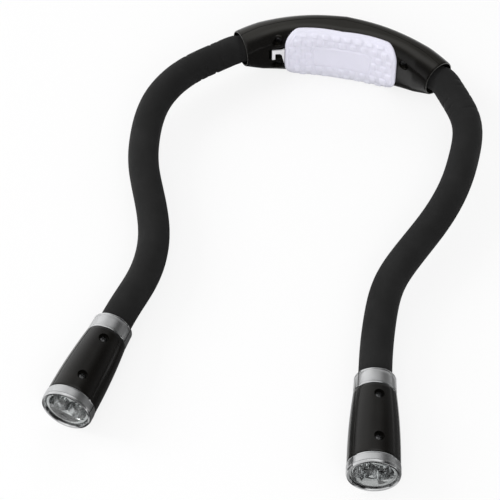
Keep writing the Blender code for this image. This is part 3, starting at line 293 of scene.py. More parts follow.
def makeMetal(name, colour, worn, rough, grain):
    material, net, shader = newMaterial(name, {"Base Color": colour, "Metallic": 1.0, "Roughness": rough})
    cloud = net.noise(objectPlace(net), grain, 3, 0.6).eased(0.35, 0.8)
    paint(net, shader, net.blended(cloud * 0.6, colour, worn), rough + cloud * 0.15)
    return material


def makePlain(name, colour, worn, rough, grain):
    material, net, shader = newMaterial(name, {"Base Color": colour, "Roughness": rough})
    place = objectPlace(net)
    cloud = net.noise(place, grain, 3, 0.6).eased(0.35, 0.8)
    paint(net, shader, net.blended(cloud, colour, worn), rough + cloud * 0.12)
    addBump(net, shader, net.noise(place, grain * 6, 2), 0.08, 0.0001)
    return material


# each simple finish: its maker's name for it, colour, worn colour, roughness and grain
metals = {
    # the screw steel is very dark: partly a dark finish, partly painted shade from the deep wells the heads sit
    # in
    "screw": ("screwSteel", (0.090, 0.090, 0.092, 1), (0.045, 0.045, 0.045, 1), 0.30, 700),
    "core": ("conduitSteel", (0.42, 0.42, 0.43, 1), (0.30, 0.29, 0.28, 1), 0.35, 300),
    "nickel": ("nickelPlate", (0.60, 0.58, 0.54, 1), (0.46, 0.44, 0.40, 1), 0.24, 250),
}
plains = {
    "jacket": ("cellJacket", (0.055, 0.085, 0.14, 1), (0.075, 0.105, 0.16, 1), 0.32, 120),
    "board": ("boardGreen", (0.02, 0.12, 0.05, 1), (0.03, 0.16, 0.07, 1), 0.42, 200),
    # painted highlight: the lighter finish on the housing's rims
    "edge": ("buffedRim", (0.060, 0.059, 0.055, 1), (0.034, 0.033, 0.031, 1), 0.30, 300),
    "cap": ("buttonRubber", (0.020, 0.020, 0.021, 1), (0.034, 0.034, 0.034, 1), 0.62, 400),
}
finishes = {
    # the number is each plastic's share of dust and painted top light
    "black": makeBlackPlastic("blackGlossPlastic", 1.0),
    "barrel": makeBlackPlastic("blackBarrelPlastic", 0.12),
    "foam": makeFoam(),
    "pad": makePadSilicone(),
    "latch": makeLatchPlastic(),
    "ring": makeSatinRing(),
    "mirror": makeMirror(),
    "lens": makeClear("clearLens", (0.97, 0.985, 0.98, 1), 0.02),
    "led": makeClear("clearResin", (0.96, 0.97, 0.97, 1), 0.05),
    **{name: makeMetal(*values) for name, values in metals.items()},
    **{name: makePlain(*values) for name, values in plains.items()},
}
print("finishes made:", len(finishes))


# Mesh helpers

def mixed(start, end, share):
    return start + (end - start) * share


def smoothed(share):
    share = min(max(share, 0), 1)
    return share * share * (3 - 2 * share)


def steps(start, end, count):
    return [mixed(start, end, number / count) for number in range(count + 1)]


def linked(name, data):
    # a new object of the scene, for a mesh, a curve, a lamp or a camera
    piece = bpy.data.objects.new(name, data)
    bpy.context.scene.collection.objects.link(piece)
    return piece


def smooth(piece, creaseAngle):
    piece.data.shade_smooth()
    piece.data.set_sharp_from_angle(angle=math.radians(creaseAngle))
    return piece


def dressed(name, mesh, finish, creaseAngle):
    mesh.materials.append(finishes[finish])
    return smooth(linked(name, mesh), creaseAngle)


def newPiece(name, points, faces, finish, creaseAngle=35):
    mesh = bpy.data.meshes.new(name)
    mesh.from_pydata([tuple(point) for point in points], [], faces)
    mesh.validate()
    return dressed(name, mesh, finish, creaseAngle)


def faceOut(piece):
    # a closed piece gets its faces turned outwards
    shape = bmesh.new()
    shape.from_mesh(piece.data)
    bmesh.ops.recalc_face_normals(shape, faces=shape.faces)
    if shape.calc_volume(signed=True) < 0:
        bmesh.ops.reverse_faces(shape, faces=shape.faces)
    shape.to_mesh(piece.data)
    shape.free()
    return piece


def loftFaces(rings, sides, capped):
    faces = []
    for ring in range(rings - 1):
        for side in range(sides):
            after = (side + 1) % sides
            low = ring * sides
            high = low + sides
            faces.append((low + side, low + after, high + after, high + side))
    if capped:
        faces.append(tuple(range(sides)))
        faces.append(tuple((rings - 1) * sides + side for side in range(sides)))
    return faces


def loft(name, rings, finish, creaseAngle=35):
    points = [point for ring in rings for point in ring]
    piece = newPiece(name, points, loftFaces(len(rings), len(rings[0]), True), finish, creaseAngle)
    return faceOut(piece)


def baked(piece):
    # the piece with its modifiers applied, as a plain mesh
    bpy.context.view_layer.update()
    graph = bpy.context.evaluated_depsgraph_get()
    mesh = bpy.data.meshes.new_from_object(piece.evaluated_get(graph))
    name = piece.name
    piece.modifiers.clear()
    if piece.type == "MESH":
        piece.data = mesh
        return piece
    bpy.data.objects.remove(piece)
    return linked(name, mesh)


def trimmed(piece, cutters, operation="DIFFERENCE", creaseAngle=30):
    for cutter in cutters:
        modifier = piece.modifiers.new("trim", "BOOLEAN")
        modifier.operation = operation
        modifier.object = cutter
    baked(piece)
    for cutter in cutters:
        bpy.data.objects.remove(cutter)
    return smooth(piece, creaseAngle)


def joined(name, pieces):
    # several pieces in one mesh, each keeping its finishes
    shape = bmesh.new()
    materials = []
    for piece in pieces:
        start = len(shape.faces)
        shape.from_mesh(piece.data)
        shape.faces.ensure_lookup_table()
        for face in shape.faces[start:]:
            material = piece.data.materials[face.material_index]
            if material not in materials:
                materials.append(material)
            face.material_index = materials.index(material)
        bpy.data.objects.remove(piece)
    mesh = bpy.data.meshes.new(name)
    shape.to_mesh(mesh)
    shape.free()
    for material in materials:
        mesh.materials.append(material)
    return linked(name, mesh)


overrun = 0.001  # how far a cutting form reaches past what it cuts


def box(name, low, high, matrix, finish):
    corners = [Vector((x, y, z)) for x in (low[0], high[0]) for y in (low[1], high[1])
               for z in (low[2], high[2])]
    faces = [(0, 1, 3, 2), (4, 6, 7, 5), (0, 4, 5, 1), (2, 3, 7, 6), (0, 2, 6, 4), (1, 5, 7, 3)]
    return newPiece(name, [matrix @ corner for corner in corners], faces, finish)


latheMapScale = 0.01  # metres of the lathe marks' map for a radian round the ring


def turned(name, profile, matrix, finish, sides=96, creaseAngle=35, seam=None, polish=None):
    # a closed profile of (radius, height) turned about Z, with a map of round and along for lathe marks

    def inSeam(angle, lowest, radius, share):
        if not seam or lowest <= seam["over"]:
            return False
        return abs(angle - seam["angle"]) < seam["width"] / radius * seam[share]

    angles = steps(0, 2 * math.pi, sides)[:-1]
    widest = profile[0][0]
    if seam:
        width = seam["width"] / widest
        extra = [seam["angle"] + width * share for share in seam["places"]]
        angles = [angle for angle in angles if abs(angle - seam["angle"]) > width * seam["clear"]]
        angles = sorted(angles + extra)
    points = []
    for radius, height in profile:
        for angle in angles:
            reach = radius - (seam["depth"] if inSeam(angle, radius, radius, "deepShare") else 0)
            points.append(matrix @ Vector((reach * math.cos(angle), reach * math.sin(angle), height)))
    count = len(angles)
    faces = []
    maps = []
    dark = []
    along = 0
    for ring, place in enumerate(profile):
        following = (ring + 1) % len(profile)
        further = along + math.dist(place, profile[following])
        for side, angle in enumerate(angles):
            after = (side + 1) % count
            end = angles[after] if after else 2 * math.pi
            if inSeam((angle + end) / 2, min(place[0], profile[following][0]), widest, "seamShadeShare"):
                dark.append(len(faces))
            faces.append((ring * count + side, ring * count + after, following * count + after,
                          following * count + side))
            here = angle * latheMapScale
            there = end * latheMapScale
            maps += [here, along, there, along, there, further, here, further]
        along = further
    mesh = bpy.data.meshes.new(name)
    mesh.from_pydata([tuple(point) for point in points], [], faces)
    mesh.uv_layers.new(name="surface").data.foreach_set("uv", maps)
    if polish:
        shine = mesh.attributes.new("polish", "FLOAT", "POINT")
        shine.data.foreach_set("value", [polish(*place) for place in profile for _ in angles])
    piece = dressed(name, mesh, finish, creaseAngle)
    # the faces in a seam take the dark rubber finish: painted shade in the groove
    if dark:
        mesh.materials.append(finishes["cap"])
    for number in dark:
        mesh.polygons[number].material_index = 1
    return faceOut(piece)


def solidTurned(name, profile, matrix, finish, sides=64, creaseAngle=35):
    # a profile from the axis to the axis, turned about Z, with its poles closed
    poles = [matrix @ Vector((0, 0, profile[0][1])), matrix @ Vector((0, 0, profile[-1][1]))]
    rings = profile[1:-1]
    points = list(poles)
    for radius, height in rings:
        for angle in steps(0, 2 * math.pi, sides)[:-1]:
            points.append(matrix @ Vector((radius * math.cos(angle), radius * math.sin(angle), height)))
    faces = [tuple(corner + 2 for corner in face) for face in loftFaces(len(rings), sides, False)]
    last = 2 + (len(rings) - 1) * sides
    for side in range(sides):
        after = (side + 1) % sides
        faces.append((0, 2 + side, 2 + after))
        faces.append((1, last + after, last + side))
    return faceOut(newPiece(name, points, faces, finish, creaseAngle))


def seated(piece, body, slot, *nodes):
    # puts a finished piece on its body, in place of the plain solids that it stands for
    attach(piece, body)
    if nodes:
        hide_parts(*nodes)


# Geometry node trees

def newTree(name, sizes, others=None):
    # a tree with a geometry in and out, an input for each size, the other inputs, and the material
    tree = bpy.data.node_groups.new(name, "GeometryNodeTree")
    inputs = {**{label: "NodeSocketFloat" for label in sizes}, **(others or {}),
              "Material": "NodeSocketMaterial"}
    tree.interface.new_socket("Geometry", in_out="INPUT", socket_type="NodeSocketGeometry")
    tree.interface.new_socket("Geometry", in_out="OUTPUT", socket_type="NodeSocketGeometry")
    for label, kind in inputs.items():
        tree.interface.new_socket(label, in_out="INPUT", socket_type=kind)
    net = Net(tree)
    source = net.node("NodeGroupInput")
    return tree, net, {socket.name: Wire(net, socket) for socket in source.outputs if socket.name}


def sizesFor(values, labels):
    # what the inputs with these labels get: "Bump Half" gets bumpHalf
    return {label: values[label[0].lower() + label[1:].replace(" ", "")] for label in labels}


def endTree(net, geometry, material):
    realized = net.wire("GeometryNodeRealizeInstances", {}, {"Geometry": geometry})
    painted = net.wire("GeometryNodeSetMaterial", {}, {"Geometry": realized, "Material": material})
    net.node("NodeGroupOutput", {}, {"Geometry": painted})


def addTree(piece, tree, values):
    modifier = piece.modifiers.new(tree.name, "NODES")
    modifier.node_group = tree
    for item in tree.interface.items_tree:
        if item.item_type == "SOCKET" and item.in_out == "INPUT" and item.name in values:
            modifier[item.identifier] = values[item.name]
    piece.update_tag()
    return piece


def placePoints(name, frames):
    # one vertex for each frame, with its turn kept for instancing
    mesh = bpy.data.meshes.new(name)
    mesh.from_pydata([tuple(each.translation) for each in frames], [], [])
    turns = mesh.attributes.new("turn", "QUATERNION", "POINT")
    for number, each in enumerate(frames):
        turns.data[number].value = each.to_quaternion()
    return linked(name, mesh)


def copyTree():
    # copies one object to every point, turned as the point says
    tree, net, given = newTree("copyToPoints", (), {"Piece": "NodeSocketObject"})
    shape = net.wire("GeometryNodeObjectInfo", {}, {"Object": given["Piece"]}, output="Geometry")
    copies = net.wire("GeometryNodeInstanceOnPoints", {}, {
        "Points": given["Geometry"], "Instance": shape, "Rotation": net.stored("turn", "QUATERNION")})
    endTree(net, copies, given["Material"])
    return tree


copyTool = copyTree()


def copied(name, master, frames):
    # the master's mesh at every frame, as one plain mesh
    values = {"Piece": master, "Material": master.data.materials[0]}
    return baked(addTree(placePoints(name, frames), copyTool, values))


# Housing sections, square to the arch

arch = {"radius": 0.1208, "chord": 0.1142, "height": 0.0366, "depth": 0.0168, "mouth": 0.0204, "wall": 0.0014,
        "mouthWall": 0.00075, "innerCorner": 0.0053, "outerCorner": 0.0050, "flatShare": 0.15,
        "mouthShare": 0.80, "roundestShare": 0.95, "taperPower": 2.2, "swellPower": 3.3, "roundingPower": 0.8,
        "partingShare": 0.80, "lean": math.radians(8), "seam": 0.00014, "chamfer": 0.00010, "rim": 0.00045,
        "rimRound": (0.3, 0.35), "rimInside": 0.2, "cornerSteps": 12, "stations": 110}
halfAngle = math.asin(arch["chord"] / 2 / arch["radius"])
faceRadius = arch["radius"] - arch["depth"] / 2
middleHeight = arch["height"] / 2
mouthRadius = arch["mouth"] / 2


def rampShare(share, start, end, power):
    along = (abs(share) - start) / (end - start)
    return min(max(along, 0), 1) ** power


def archSection(share):
    taper = rampShare(share, arch["flatShare"], 1, arch["taperPower"])
    swell = rampShare(share, 0, arch["mouthShare"], arch["swellPower"])
    rounding = rampShare(share, 0, 1, arch["roundingPower"])
    halfHeight = mixed(middleHeight, mouthRadius, taper)
    halfDepth = mixed(arch["depth"] / 2, mouthRadius, swell)
    roundest = mouthRadius * arch["roundestShare"]
    inner = min(mixed(arch["innerCorner"], roundest, rounding), halfDepth * arch["roundestShare"])
    outer = min(mixed(arch["outerCorner"], roundest, rounding), halfDepth * arch["roundestShare"])
    return halfDepth, halfHeight, inner, outer, mixed(arch["wall"], arch["mouthWall"], swell)


def archPoint(share, across, up):
    angle = share * halfAngle
    reach = arch["radius"] + across
    return Vector((reach * math.sin(angle), reach * math.cos(angle) - arch["radius"], middleHeight + up))


def leanedPoint(share, across, up):
    # as archPoint, with the last sections turned a little forwards
    lean = math.tan(arch["lean"]) * rampShare(share, arch["mouthShare"], 1, 1)
    return archPoint(share + math.copysign(shareOfArc(across * lean), share * across), across, up)


def partingPlace(share):
    halfDepth, _, _, outer, _ = archSection(share)
    return (halfDepth - outer) * arch["partingShare"]


def halfOutline(share, inset, outwards, edge, chamfer=0):
    # one side of a section from its top edge to its bottom edge, its parting edges chamfered
    halfDepth, halfHeight, inner, outer, _ = archSection(share)
    radius = outer if outwards else inner
    sign = 1 if outwards else -1
    top = halfHeight - inset
    points = [(edge, top - chamfer)]
    if chamfer:
        points.append((edge + sign * chamfer, top))
    for upper in (True, False):
        for turn in steps(0, math.pi / 2, arch["cornerSteps"]):
            turn = turn if upper else math.pi / 2 - turn
            across = halfDepth - radius + (radius - inset) * math.sin(turn)
            up = halfHeight - radius + (radius - inset) * math.cos(turn)
            points.append((sign * across, up if upper else -up))
    if chamfer:
        points.append((edge + sign * chamfer, -top))
    points.append((edge, -top + chamfer))
    return points


def shellStations():
    # (share along the arch, rounding) pairs, close together at each rim so that its edge is rounded
    rim = arch["rim"] / (arch["radius"] * halfAngle)
    near, rounding = arch["rimRound"]
    middle = [(share, 0) for share in steps(-1 + rim, 1 - rim, arch["stations"])]
    return [(-1, 1), (-1 + rim * near, rounding), *middle, (1 - rim * near, rounding), (1, 1)]


def shellHalf(name, outwards):
    # one half of the hollow housing, and the number of points in each of its sections
    rings = []
    for share, rounding in shellStations():
        wall = archSection(share)[4]
        edge = partingPlace(share) - (0 if outwards else arch["seam"])
        drop = rounding * arch["rim"]
        outline = halfOutline(share, drop, outwards, edge, arch["chamfer"])
        outline += reversed(halfOutline(share, wall - drop * arch["rimInside"], outwards, edge))
        rings.append([leanedPoint(share, across, up) for across, up in outline])
    return loft(name, rings, "black", 30), len(rings[0])


def paintRimHighlights(shell, sides):
    # the rounded rims at both mouths take a lighter finish: a painted highlight along each rim
    shell.data.materials.append(finishes["edge"])
    last = len(shell.data.vertices) - 2 * sides
    for face in shell.data.polygons:
        if max(face.vertices) < 2 * sides or min(face.vertices) >= last:
            face.material_index = 1


def facePoint(share, up):
    # a point of the inner face at a height, and the direction square to it, in the section's plane
    halfDepth, halfHeight, inner, _, _ = archSection(share)
    beyond = abs(up) - (halfHeight - inner)
    if beyond <= 0:
        return Vector((-halfDepth, up)), Vector((-1, 0))
    lean = math.asin(min(beyond / inner, 1))
    normal = Vector((-math.cos(lean), math.copysign(math.sin(lean), up)))
    middle = Vector((-(halfDepth - inner), math.copysign(halfHeight - inner, up)))
    return middle + normal * inner, normal


def faceFrame(share, up, rise):
    # X along the arch and Z out of the inner face, its origin lifted by rise
    base, normal = facePoint(share, up)
    angle = share * halfAngle
    along = Vector((math.cos(angle), -math.sin(angle), 0))
    outward = Vector((math.sin(angle), math.cos(angle), 0))
    out = outward * normal.x + upward * normal.y
    turn = Matrix((along, out.cross(along), out)).transposed().to_4x4()
    return Matrix.Translation(archPoint(share, *(base + normal * rise))) @ turn


def shareOfFace(arc):
    return arc / (faceRadius * halfAngle)


def shareOfX(place):
    return math.asin(place / faceRadius) / halfAngle


def shareOfArc(arc):
    return arc / (arch["radius"] * halfAngle)


# Screws: pan heads with a cross recess, in round wells

screw = {"head": 0.0038, "height": 0.0009, "domeShare": 0.75, "domeEnd": math.radians(84), "sunk": 0.0003,
         "shank": 0.0022, "shankRoom": 0.0002, "cross": 0.00055, "crossReach": 0.00125, "crossDepth": 0.0008,
         "crossTurn": 0.3, "well": 0.0052, "wellDepth": 0.0026, "lip": 0.00020, "lipFlare": 2.5,
         "floor": 0.0026, "boss": 0.0074, "bossStart": 0.7}


def makeScrewMaster():
    # lies in its well with Z pointing in, its origin at the mouth of the well
    radius = screw["head"] / 2
    shank = screw["shank"] / 2
    top = screw["wellDepth"] - screw["sunk"] - screw["height"]
    under = top + screw["height"]
    end = under + screw["height"]
    dome = [(radius * math.sin(angle), top + screw["height"] * screw["domeShare"] * (1 - math.cos(angle)))
            for angle in steps(0, screw["domeEnd"], 10)]
    profile = [(0, top), *dome[1:], (radius, under), (shank, under), (shank, end), (0, end)]
    master = solidTurned("screwMaster", profile, Matrix(), "screw", 48, 40)
    half = screw["cross"] / 2
    reach = screw["crossReach"]
    cutters = [box(f"screwCross{number}", (-reach, -half, top - overrun),
                   (reach, half, top + screw["crossDepth"]),
                   Matrix.Rotation(number * math.pi / 2 + screw["crossTurn"], 4, "Z"), "screw")
               for number in range(2)]
    return trimmed(master, cutters)


screwMaster = makeScrewMaster()


def wellCutter(name, seat):
    # a round well whose mouth flares into a small lip
    radius = screw["well"] / 2
    lip = screw["lip"]
    above = -1.5 * overrun
    profile = [(0, screw["wellDepth"]), (radius, screw["wellDepth"]), (radius, lip), (radius + lip, 0),
               (radius + screw["lipFlare"] * lip, above), (0, above)]
    return solidTurned(name, profile, seat, "black", 48)


def wellBoss(name, seat, start):
    # the cup under a well, inside the shell
    radius = screw["well"] / 2
    outer = screw["boss"] / 2
    hole = screw["shank"] / 2 + screw["shankRoom"]
    depth = screw["wellDepth"]
    low = depth + screw["floor"]
    profile = [(radius, start), (outer, start), (outer, low), (hole, low), (hole, depth), (radius, depth)]
    return turned(name, profile, seat, "black", 48)


def screwWells(name, seats, wall):
    # the forms that cut the wells, and the cups that go under them
    cutters = [wellCutter(f"{name}Well{number}", seat) for number, seat in enumerate(seats)]
    start = wall * screw["bossStart"]
    return cutters, [wellBoss(f"{name}Boss{number}", seat, start) for number, seat in enumerate(seats)]


# Housing: two shells that meet in a fine seam, the door, the cells and their contacts

housing = {"rightScrew": (0.0366, 0.0072), "leftScrews": ((-0.0354, 0.0098), (-0.0354, -0.0074)),
           "openingWidth": 0.0530, "openingMargin": 0.0017, "doorGap": 0.0003, "recessLength": 0.0088,
           "recessHalf": 0.0040, "recessDepth": 0.0007, "latchRaise": 0.0012, "bayHalf": 0.0250,
           "ribThickness": 0.0015, "ribGap": 0.0011, "ribDepths": (-0.0048, 0.0030), "ribDrop": 0.0045}


def screwSeats():
    seats = []
    for place, up in (housing["rightScrew"], *housing["leftScrews"]):
        share = shareOfX(place)
        base, _ = facePoint(share, up)
        depth = archPoint(share, base.x, up).y
        seats.append(Matrix.Translation((place, depth, middleHeight + up))
                     @ Matrix.Rotation(-math.pi / 2, 4, "X"))
    return seats


def openingForm(name, gap):
    # a prism through the inner face, as wide and high as the door's opening less a gap
    front = archPoint(1, 0, 0).y - arch["mouth"]
    half = housing["openingWidth"] / 2 - gap
    rings = []
    for place in steps(-half, half, 40):
        halfHeight = archSection(shareOfX(place))[1] - housing["openingMargin"] - gap
        corners = ((front, -halfHeight), (0, -halfHeight), (0, halfHeight), (front, halfHeight))
        rings.append([Vector((place, depth, middleHeight + up)) for depth, up in corners])
    return loft(name, rings, "black")


def latchFrame(rise):
    arc = pad["shift"] - pad["width"] / 2 - latch["rootGap"]
    return faceFrame(shareOfFace(arc), housing["latchRaise"], rise)


def makeRibs():
    # the plates at both ends of the battery bay
    front, back = housing["ribDepths"]
    low = housing["ribDrop"]
    ribs = []
    for sign in (-1, 1):
        near = sign * (housing["bayHalf"] + housing["ribGap"])
        start, end = sorted((near, near + sign * housing["ribThickness"]))
        ribs.append(box(f"bayRib{sign}", (start, front, low), (end, back, arch["height"] - low), Matrix(),
                        "black"))
    return ribs


def makeShells():
    outer, sides = shellHalf("outerShell", True)
    paintRimHighlights(outer, sides)
    outer = joined("outerShell", [outer, *makeRibs()])
    seated(outer, "housing", "black_gloss_plastic", "outer_shell")
    inner, sides = shellHalf("innerShell", False)
    paintRimHighlights(inner, sides)
    seats = screwSeats()
    wells, bosses = screwWells("housing", seats, arch["wall"])
    recess = box("latchRecess", (-housing["recessLength"], -housing["recessHalf"], -housing["recessDepth"]),
                 (overrun, housing["recessHalf"], 2 * overrun), latchFrame(0), "black")
    trimmed(inner, [openingForm("doorOpening", 0), *wells, recess])
    inner = joined("innerShell", [inner, *bosses])
    seated(inner, "housing", "black_gloss_plastic", "inner_shell")
    screws = copied("housingScrews", screwMaster, seats)
    seated(screws, "housing", "steel", "housing_screw_right", "housing_screw_left_upper",
           "housing_screw_left_lower")
    door, _ = shellHalf("batteryDoor", False)
    trimmed(door, [openingForm("doorOutline", housing["doorGap"])], "INTERSECT")
    seated(door, "door", "black_gloss_plastic", "battery_door")


cell = {"diameter": 0.0105, "length": 0.0445, "nub": 0.0038, "nubLength": 0.0009, "nubEdge": 0.0003,
        "pitch": 0.01075, "edge": 0.0005, "foil": 0.0001, "endGap": 0.0003, "holeShare": 1.7, "coreShare": 1.68,
        "rimShare": 0.8, "discShare": 0.78, "space": 0.0052, "wire": 0.0006, "coil": 0.0060, "turns": 4,
        "backGap": 0.0004}


def cellDepth():
    end = cell["length"] / 2 + cell["space"] / 2
    reach = arch["radius"] + arch["depth"] / 2 - arch["wall"]
    return math.sqrt(reach ** 2 - end ** 2) - arch["radius"] - cell["backGap"] - cell["diameter"] / 2


def cellFrames():
    frames = []
    for number, sign in enumerate((1, -1, 1)):
        up = middleHeight + (number - 1) * cell["pitch"]
        frames.append(Matrix.Translation((0, cellDepth(), up)) @ Matrix.Rotation(sign * math.pi / 2, 4, "Y"))
    return frames


def makeCellMaster():
    # a cell along Z with its nub up: the jacket with rolled ends, and the parts that show at both
    top = housing["bayHalf"] - cell["endGap"]
    low = top - cell["length"]
    radius = cell["diameter"] / 2
    edge, foil, nubEdge = cell["edge"], cell["foil"], cell["nubEdge"]
    nub = cell["nub"] / 2
    shoulder = top - cell["nubLength"]
    hole, core = nub * cell["holeShare"], nub * cell["coreShare"]
    rim, disc = radius * cell["rimShare"], radius * cell["discShare"]
    jacket = turned("cellJacketForm", [
        (hole, shoulder), (radius - edge, shoulder + foil), (radius, shoulder - edge), (radius, low + edge),
        (radius - edge, low), (rim, low), (rim, low + 2 * foil), (hole, low + 2 * foil)],
        Matrix(), "jacket", 64)
    ends = solidTurned("cellEndForm", [
        (0, top), (nub - nubEdge, top), (nub, top - nubEdge), (nub, shoulder), (core, shoulder),
        (core, low + foil), (0, low + foil)], Matrix(), "jacket", 48)
    base = solidTurned("cellBaseForm", [
        (0, low + 1.5 * foil), (disc, low + 1.5 * foil), (disc, low), (0, low - foil)], Matrix(), "jacket", 48)
    return joined("cellMaster", [jacket, ends, base])


springLabels = ("Turns", "Radius", "Start", "Height", "Wire")


def springTree():
    # a coil of wire about Z from one height to another
    tree, net, given = newTree("coilSpring", springLabels)
    spiral = net.wire("GeometryNodeCurveSpiral", {}, {
        "Resolution": 40, "Rotations": given["Turns"], "Start Radius": given["Radius"],
        "End Radius": given["Radius"], "Height": given["Height"]})
    shift = net.wire("ShaderNodeCombineXYZ", {}, {"Z": given["Start"]})
    moved = net.wire("GeometryNodeTransform", {}, {"Geometry": spiral, "Translation": shift})
    ring = net.wire("GeometryNodeCurvePrimitiveCircle", {}, {"Resolution": 10, "Radius": given["Wire"]})
    wire = net.wire("GeometryNodeCurveToMesh", {}, {"Curve": moved, "Profile Curve": ring, "Fill Caps": True})
    endTree(net, wire, given["Material"])
    return tree


def makeSpringMaster():
    radius = cell["wire"] / 2
    start = -housing["bayHalf"] + cell["endGap"] + radius
    end = housing["bayHalf"] - 2 * cell["endGap"] - cell["length"] - radius
    sizes = (float(cell["turns"]), cell["coil"] / 2 - radius, start, end - start, radius)
    values = {**dict(zip(springLabels, sizes)), "Material": finishes["nickel"]}
    return baked(addTree(placePoints("coilForm", [Matrix()]), springTree(), values))


def makeCells():
    master = makeCellMaster()
    cells = smooth(copied("cells", master, cellFrames()), 35)
    seated(cells, "housing", "cell_jacket", "lower_cell", "middle_cell", "upper_cell")
    coil = makeSpringMaster()
    springs = copied("cellSprings", coil, cellFrames())
    springs.data.shade_smooth()
    seated(springs, "housing", "nickel", "lower_cell_spring", "middle_cell_spring", "upper_cell_spring")
    bpy.data.objects.remove(master)
    bpy.data.objects.remove(coil)
    for side in ("left", "right"):
        repaint(f"{side}_contact_plate", "nickel")


def repaint(node, finish):
    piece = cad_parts[node]
    piece.data.materials.clear()
    piece.data.materials.append(finishes[finish])


# Pad: a milky plate with soft square bumps and a plain middle panel, and its latch

pad = {"width": 0.0658, "shift": 0.0008, "margin": 0.00115, "corner": 0.0080, "edgeRise": 0.0009,
       "rise": 0.0020, "rounding": 0.0026, "underside": 0.0003, "columns": 190, "rows": 104, "undersideStep": 8,
       "edgewise": 0.55, "bumpHalf": 0.0018, "bumpRound": 0.0009, "bumpSoft": 0.00044, "bumpHeight": 0.00078,
       "bumpWidths": (0.84, 0.32), "bumpHeights": (0.70, 0.45), "columnPitch": 0.0064, "rowPitch": 0.00495,
       "seed": 3.0, "panelHalfWidth": 0.0165, "panelHalfHeight": 0.0070, "panelRound": 0.0025,
       "panelRise": 0.00050, "rimLine": 0.00022, "rimLineStart": (0.0012, 0.0016),
       "rimLineEnd": (0.0019, 0.0024)}
padFacts = ("along", "up", "room", "top")
padLabels = ("Bump Half", "Bump Round", "Bump Soft", "Bump Height", "Column Pitch", "Row Pitch",
             "Panel Half Width", "Panel Half Height", "Panel Round", "Panel Rise", "Rim Line")


def padRoom(along, up, halfHeight):
    # distance in from the pad's rounded outline
    across = abs(along) - pad["width"] / 2 + pad["corner"]
    over = abs(up) - halfHeight + pad["corner"]
    outside = math.hypot(max(across, 0), max(over, 0)) + min(max(across, over), 0)
    return pad["corner"] - outside


def padRise(room):
    share = min(max(room / pad["rounding"], 0), 1)
    return mixed(pad["edgeRise"], pad["rise"], math.sqrt(max(1 - (1 - share) ** 2, 0)))


def roundedSquare(across, over, halfAcross, halfOver, rounding):
    # distance out of a rounded square
    wide = (abs(across) - halfAcross + rounding).above(0)
    tall = (abs(over) - halfOver + rounding).above(0)
    return (wide * wide + tall * tall).math("SQRT") - rounding


def padTree():
    # lifts soft squares and the middle panel out of the pad, by formula from each point's place on it
    tree, net, given = newTree("padBumps", padLabels)
    along, up, room, top = (net.stored(name) for name in padFacts)
    half, soft, pitch = given["Bump Half"], given["Bump Soft"], given["Column Pitch"]
    row = (up / given["Row Pitch"]).math("ROUND")
    stagger = row.math("FLOORED_MODULO", 2) * pitch * 0.5
    column = ((along - stagger) / pitch).math("ROUND")
    seed = net.wire("ShaderNodeCombineXYZ", {}, {"X": row, "Y": column, "Z": pad["seed"]})
    chance = net.wire("ShaderNodeTexWhiteNoise", {"noise_dimensions": "3D"}, {"Vector": seed})
    narrow, wider = pad["bumpWidths"]
    reach = half * (narrow + chance * wider)
    edge = roundedSquare(along - stagger - column * pitch, up - row * given["Row Pitch"], reach, reach,
                         given["Bump Round"])
    square = 1 - edge.eased(soft * -1, soft)
    panel = roundedSquare(along, up, given["Panel Half Width"], given["Panel Half Height"],
                          given["Panel Round"])
    beside = panel.eased(half * 0.2, half * 0.9)
    inside = room.eased(half * 0.75, half * 1.75)
    low, higher = pad["bumpHeights"]
    lift = square * beside * inside * given["Bump Height"] * (low + chance * higher)
    plate = (1 - panel.eased(soft * -0.9, soft * 0.9)) * given["Panel Rise"]
    line = room.eased(*pad["rimLineStart"]) * (1 - room.eased(*pad["rimLineEnd"])) * given["Rim Line"]
    endTree(net, net.swollen(given["Geometry"], (lift + plate - line) * top), given["Material"])
    return tree


def edgewise(turn):
    # from -1 to 1 over half a turn, with its steps closer together towards both ends
    return mixed(math.sin(turn), turn * 2 / math.pi, pad["edgewise"])


def makePad():
    rings = []
    facts = []
    half = pad["width"] / 2
    corner = pad["corner"]
    for turn in steps(-math.pi / 2, math.pi / 2, pad["columns"]):
        along = half * edgewise(turn)
        share = shareOfFace(along + pad["shift"])
        full = archSection(share)[1] - pad["margin"]
        intoCorner = max(abs(along) - half + corner, 0)
        halfHeight = full - corner + math.sqrt(max(corner ** 2 - intoCorner ** 2, 0))
        top = []
        under = []
        for lean in steps(-math.pi / 2, math.pi / 2, pad["rows"]):
            up = halfHeight * edgewise(lean)
            room = padRoom(along, up, full)
            base, normal = facePoint(share, up)
            top.append((archPoint(share, *(base + normal * padRise(room))), (along, up, room, 1.0)))
            under.append((archPoint(share, *(base + normal * pad["underside"])), (along, up, room, 0.0)))
        section = top + under[::pad["undersideStep"]][::-1]
        rings.append([point for point, _ in section])
        facts += [fact for _, fact in section]
    piece = loft("comfortPad", rings, "pad", 50)
    for place, name in enumerate(padFacts):
        layer = piece.data.attributes.new(name, "FLOAT", "POINT")
        layer.data.foreach_set("value", [fact[place] for fact in facts])
    addTree(piece, padTree(), {**sizesFor(pad, padLabels), "Material": finishes["pad"]})
    smooth(baked(piece), 60)
    for name in padFacts:
        piece.data.attributes.remove(piece.data.attributes[name])
    seated(piece, "door", "soft_white_rubber", "comfort_pad")


latch = {"rootDrop": 0.0072, "rootLength": 0.0025, "rootGap": 0.0003, "neck": 0.0025, "crook": 0.0008,
         "bar": 0.0068, "barLength": 0.0019, "length": 0.0072, "thickness": 0.0014, "lift": 0.0005,
         "edge": 0.0003}


